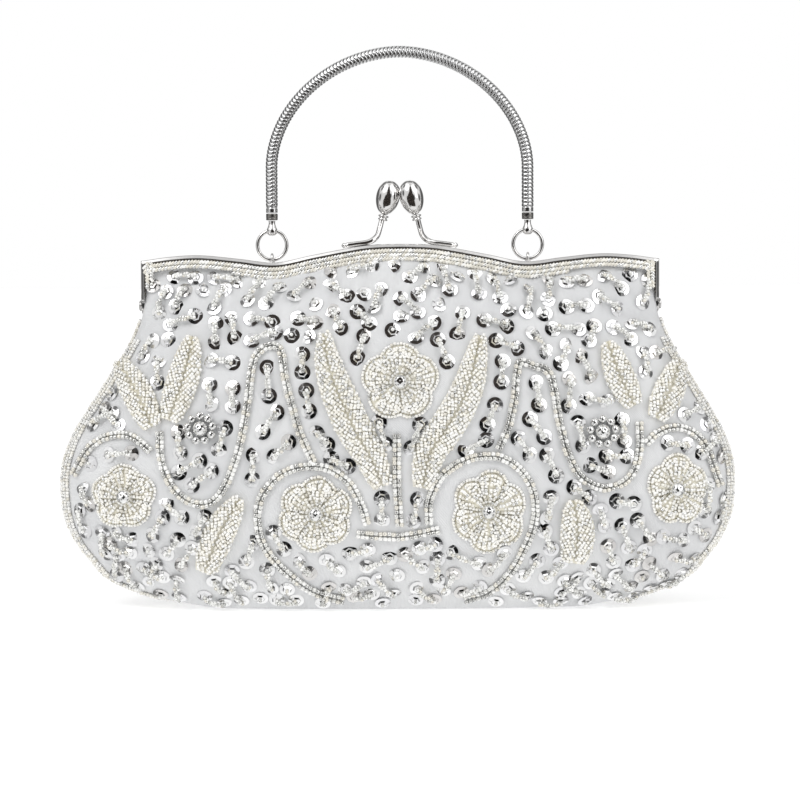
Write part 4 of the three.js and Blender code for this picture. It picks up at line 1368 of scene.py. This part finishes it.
def add_frame_trim(name, side, materials):
    """A dark twisted cord under the rim, then rows of beads that hide the satin's edge."""
    pile = Pile()
    path = rope_line(side, CORD_DEPTH, CORD_FOOT, CORD_Y)
    tangent = unit(np.gradient(path, axis=0))
    across = unit(np.cross(tangent, np.tile([0.0, 1.0, 0.0], (len(path), 1))))
    up = np.cross(across, tangent)
    for phase in (0, math.pi):
        angle = (np.arange(len(path)) * 0.9 + phase)[:, None]
        strand = path + CORD_TWIST_R * (np.cos(angle) * across + np.sin(angle) * up)
        pile.add(*sweep(strand, circle(CORD_STRAND_R, 6)))
    piece = pile.build(f"{name}_twisted_cord", materials["cord"])
    hold(piece, f"{name}_frame", f"{name}_twist_cord", slot="dull_nickel")
    pile = Pile()
    for depth, y, foot, reach in FRAME_ROPES:
        path = rope_line(side, depth, foot, y)
        lay_rope(pile, path[np.abs(path[:, 0]) < reach], side)
    piece = pile.build(f"{name}_frame_beads", materials["beads"])
    hold(piece, f"{name}_frame", f"{name}_bead_rope", slot="seed_bead")


def add_rivets(materials):
    for name, hand in (("left", -1), ("right", 1)):
        profile = [
            (1.0, -1.5), (1.8, -1.4), (2.1, -1.15), (2.1, -0.75), (1.1, -0.7), (1.1, 2.2),
            (2.1, 2.25), (2.1, 2.7), (1.9, 2.95), (1.2, 3.12), (0.3, 3.2),
        ]
        place = np.array([[hand * (EAR_INNER_X + 0.15), 0, HINGE_Z]])
        axes = axes_from(np.array([[float(hand), 0, 0]]), np.array([[0.0, 0, 1]]))
        pile = Pile()
        pile.stamp(lathe(profile, 28), place, axes)
        hold(pile.build(f"{name}_rivet", materials["chrome"]), "rear_frame", f"{name}_hinge_rivet")


def egg_profile():
    """The clasp ball from its foot, slightly narrower than its crown."""
    profile = []
    for t in np.linspace(-math.pi / 2 + 0.09, math.pi / 2 - 0.03, 34):
        height = BALL_HALF_HEIGHT * math.sin(t)
        radius = BALL_R * math.cos(t) ** 0.94 * (1 + 0.06 * math.sin(t))
        profile.append((radius, height))
    return profile


def add_clasp_half(name, hand, side, materials):
    """One half of the kiss-lock: egg ball, double collar, and a bent stem with its foot."""
    tilt = math.radians(-hand * BALL_TILT)
    axis = np.array([[math.sin(tilt), 0, math.cos(tilt)]])
    axes = axes_from(axis, np.array([[0.0, 1.0, 0.0]]))
    body = "front_frame" if side < 0 else "rear_frame"
    pile = Pile()
    centre = np.array([[hand * BALL_X, -side * BALL_LEAN_Y, BALL_Z]])
    pile.stamp(lathe(egg_profile(), 48), centre, axes)
    hold(pile.build(f"clasp_{name}_egg", materials["chrome"]), body, f"clasp_{name}_ball")
    pile = Pile()
    collar = [
        (0.9, -1.15), (1.55, -1.1), (1.85, -0.8), (1.85, -0.5), (1.5, -0.2), (1.42, -0.05),
        (1.5, 0.1), (1.95, 0.35), (2.05, 0.65), (1.9, 0.95), (1.3, 1.1),
    ]
    place = np.array([[hand * COLLAR_X, -side * COLLAR_Y, COLLAR_Z]])
    pile.stamp(lathe(collar, 32), place, axes)
    stem = [(6.9, 149.9), (7.7, 146.6), (8.6, 143.8), (10.2, 142), (12.6, 141), (17.1, 140.4),
            (22.4, 139.7)]
    lean = [side * y for y in (-1.3, -0.6, 1.0, 2.4, 3.0, FRAME_CENTRE_Y, FRAME_CENTRE_Y)]
    points = [(hand * x, y, z) for (x, z), y in zip(stem, lean)]
    path = curve_through(points, 90)
    share = np.linspace(0, 1, 90)
    radius = STEM_R + 0.14 * np.exp(-((share - 0.42) / 0.1) ** 2)
    radius *= 1 - 0.30 * np.exp(-((share - 0.93) / 0.018) ** 2)
    radius *= np.sqrt(np.clip((1 - share) / 0.03, 0.03, 1))
    profile = circle(1, 20)[None] * radius[:, None, None]
    pile.add(*sweep(path, profile))
    hold(pile.build(f"clasp_{name}_arm", materials["chrome"]), body, f"clasp_{name}_stem")


# ---------------------------------------------------------------- rings and handle


def add_ring(name, hand, materials):
    """A round wire ring, closed by a fine butt joint at the top."""
    angle = np.linspace(0.012, 2 * math.pi - 0.012, 96) + math.pi / 2
    path = np.stack([hand * RING_X + RING_MEAN_R * np.cos(angle),
                     np.full(96, FRAME_CENTRE_Y),
                     RING_PIVOT_Z + RING_MEAN_R + RING_MEAN_R * np.sin(angle)], -1)
    pile = Pile()
    pile.add(*sweep(path, circle(RING_WIRE_R, 16)))
    hold(pile.build(f"{name}_wire_ring", materials["chrome"]), f"{name}_ring", f"{name}_ring")


def add_lug(name, hand, materials):
    x = hand * RING_X
    angle = np.linspace(0, math.pi, 30)
    arch = np.stack([np.full(30, x), FRAME_CENTRE_Y - LUG_ARCH_R * np.cos(angle),
                     LUG_ARCH_Z + LUG_ARCH_R * np.sin(angle)], -1)
    foot = np.array([[x, FRAME_CENTRE_Y - LUG_ARCH_R, LUG_FOOT_Z]])
    path = np.concatenate([foot, arch, foot + [[0, 2 * LUG_ARCH_R, 0]]])
    ups = np.tile([1.0, 0.0, 0.0], (len(path), 1))
    pile = Pile()
    pile.add(*sweep(path, circle(LUG_WIRE_R, 14), ups))
    collar = [(0.52, -0.22), (0.95, -0.2), (1.0, 0), (0.8, 0.22), (0.52, 0.26)]
    for leg in (-1, 1):
        y = FRAME_CENTRE_Y + leg * LUG_ARCH_R
        pile.stamp(lathe(collar, 18), np.array([[x, y, float(frame_top(x)) + 0.18]]), UPRIGHT)
    hold(pile.build(f"{name}_lug_wire", materials["chrome"]), "rear_frame", f"{name}_lug")


def chain_path(count):
    """The chain's centre line: straight legs and a slightly full half-ellipse."""
    angle = np.linspace(math.pi, 0, 400)
    cosine, sine = np.cos(angle), np.sin(angle)
    x = ARCH_A * np.sign(cosine) * np.abs(cosine) ** (2 / ARCH_POWER)
    z = ARCH_Z + ARCH_B * np.abs(sine) ** (2 / ARCH_POWER)
    leg = np.linspace(CHAIN_FOOT_Z, ARCH_Z, 40)[:-1]
    x = np.concatenate([np.full(39, -RING_X), x, np.full(39, RING_X)])
    z = np.concatenate([leg, z, leg[::-1]])
    return at_steps(np.stack([x, np.full(len(x), FRAME_CENTRE_Y), z], -1), count)


def add_chain(materials):
    """Snake chain: overlapping scales round a flexible tube, with a plain collar at each end."""
    rough = chain_path(400)
    total = length_of(rough)
    per_scale = 8
    scales = int(round(total / SCALE_PITCH))
    count = scales * per_scale + 1
    path = chain_path(count)
    around = 48
    angle = np.arange(around) * 2 * math.pi / around
    along = np.linspace(0, scales, count)[:, None]
    column = (angle + math.pi / 2 + math.pi / CHAIN_COLUMNS) / (2 * math.pi / CHAIN_COLUMNS)
    across = column % 1
    slope = np.where(np.floor(column) % 2 == 0, across, 1 - across)
    saw = (along + 0.55 * slope[None]) % 1
    end = np.minimum(np.linspace(0, total, count), np.linspace(total, 0, count))[:, None]
    woven = end > 2.0
    groove = (saw > 0.72) & (np.abs(across - 0.5) < 0.36)[None] & woven
    swell = 0.93 + 0.07 * np.sin(math.pi * saw) * np.sin(math.pi * across)[None]
    radius = CHAIN_R * np.where(woven, np.where(groove, 0.84, swell), 0.97)
    radius = np.where((end > 1.7) & (end < 2.1), CHAIN_R * 0.88, radius)
    profile = np.stack([radius * np.cos(angle), radius * np.sin(angle)], -1)
    pile = Pile()
    pile.add(*sweep(path, profile), smooth=True)
    # The grooves between the scales take the second, dark material: painted shade.
    piece = pile.build("snake_chain", [materials["chain"], materials["gap"]])
    tints = np.zeros(len(piece.data.polygons), int)
    tints[:groove[:-1].size] = groove[:-1].ravel()
    piece.data.polygons.foreach_set("material_index", tints)
    hold(piece, "handle", "handle_chain", slot="snake_chain")


def add_handle_end(name, hand, materials):
    x = hand * RING_X
    ferrule = [
        (1.9, -1.3), (2.15, -1.22), (2.25, -1.0), (2.25, -0.55), (2.14, -0.45), (2.25, -0.35),
        (2.25, 0.95), (2.2, 1.2), (2.0, 1.3),
    ]
    pile = Pile()
    pile.stamp(lathe(ferrule, 32), np.array([[x, FRAME_CENTRE_Y, FERRULE_Z]]), UPRIGHT)
    piece = pile.build(f"{name}_cap", materials["nickel"])
    hold(piece, "handle", f"{name}_ferrule", slot="dull_nickel")
    add_eyelet(name, x, materials)


def drill(piece, centre, radius, reach):
    """Cuts a round hole along X through a piece."""
    pile = Pile()
    place = np.array([centre], float)
    pile.stamp(lathe([(radius, -reach), (radius, reach)], 28), place, np.eye(3)[None])
    tool = pile.build("drill", piece.data.materials[0])
    cut = piece.modifiers.new("hole", "BOOLEAN")
    cut.object = tool
    cut.solver = "EXACT"
    shaped = bpy.data.meshes.new_from_object(piece.evaluated_get(
        bpy.context.evaluated_depsgraph_get()))
    piece.modifiers.clear()
    piece.data = shaped
    bpy.data.objects.remove(tool)


def add_eyelet(name, x, materials):
    """A pear-shaped end on a short neck, with a cross hole for the ring."""
    centre = RING_PIVOT_Z + 2 * RING_MEAN_R
    pear = [
        (0.5, -2.08), (1.2, -1.9), (1.75, -1.35), (2.02, -0.6), (2.05, 0.0), (1.9, 0.7),
        (1.62, 1.35), (1.38, 2.0), (1.25, 2.7), (1.22, 3.2), (1.35, 3.5), (1.3, 3.7),
    ]
    pile = Pile()
    pile.stamp(lathe(pear, 32), np.array([[x, FRAME_CENTRE_Y, centre]]), UPRIGHT)
    piece = pile.build(f"{name}_eyelet", materials["chrome"])
    bpy.context.view_layer.update()
    drill(piece, (x, FRAME_CENTRE_Y, centre), EYELET_HOLE_R, 5)
    hold(piece, "handle", f"{name}_ball_end")


def add_metalwork(materials):
    for name, side in SIDES.items():
        add_frame_half(name, side, materials)
    add_rivets(materials)
    add_clasp_half("left", -1, -1, materials)
    add_clasp_half("right", 1, 1, materials)
    for name, hand in (("left", -1), ("right", 1)):
        add_ring(name, hand, materials)
        add_lug(name, hand, materials)
        add_handle_end(name, hand, materials)
    add_chain(materials)


add_camera()
add_world()
add_lights()
add_floor()
add_flag()
MATERIALS = make_materials()
add_satin(MATERIALS)
add_lining(MATERIALS)
add_pocket(MATERIALS)
add_piping(MATERIALS)
add_motifs(MATERIALS)
add_sequins(MATERIALS)
add_metalwork(MATERIALS)

bpy.context.scene.view_settings.view_transform = "Standard"
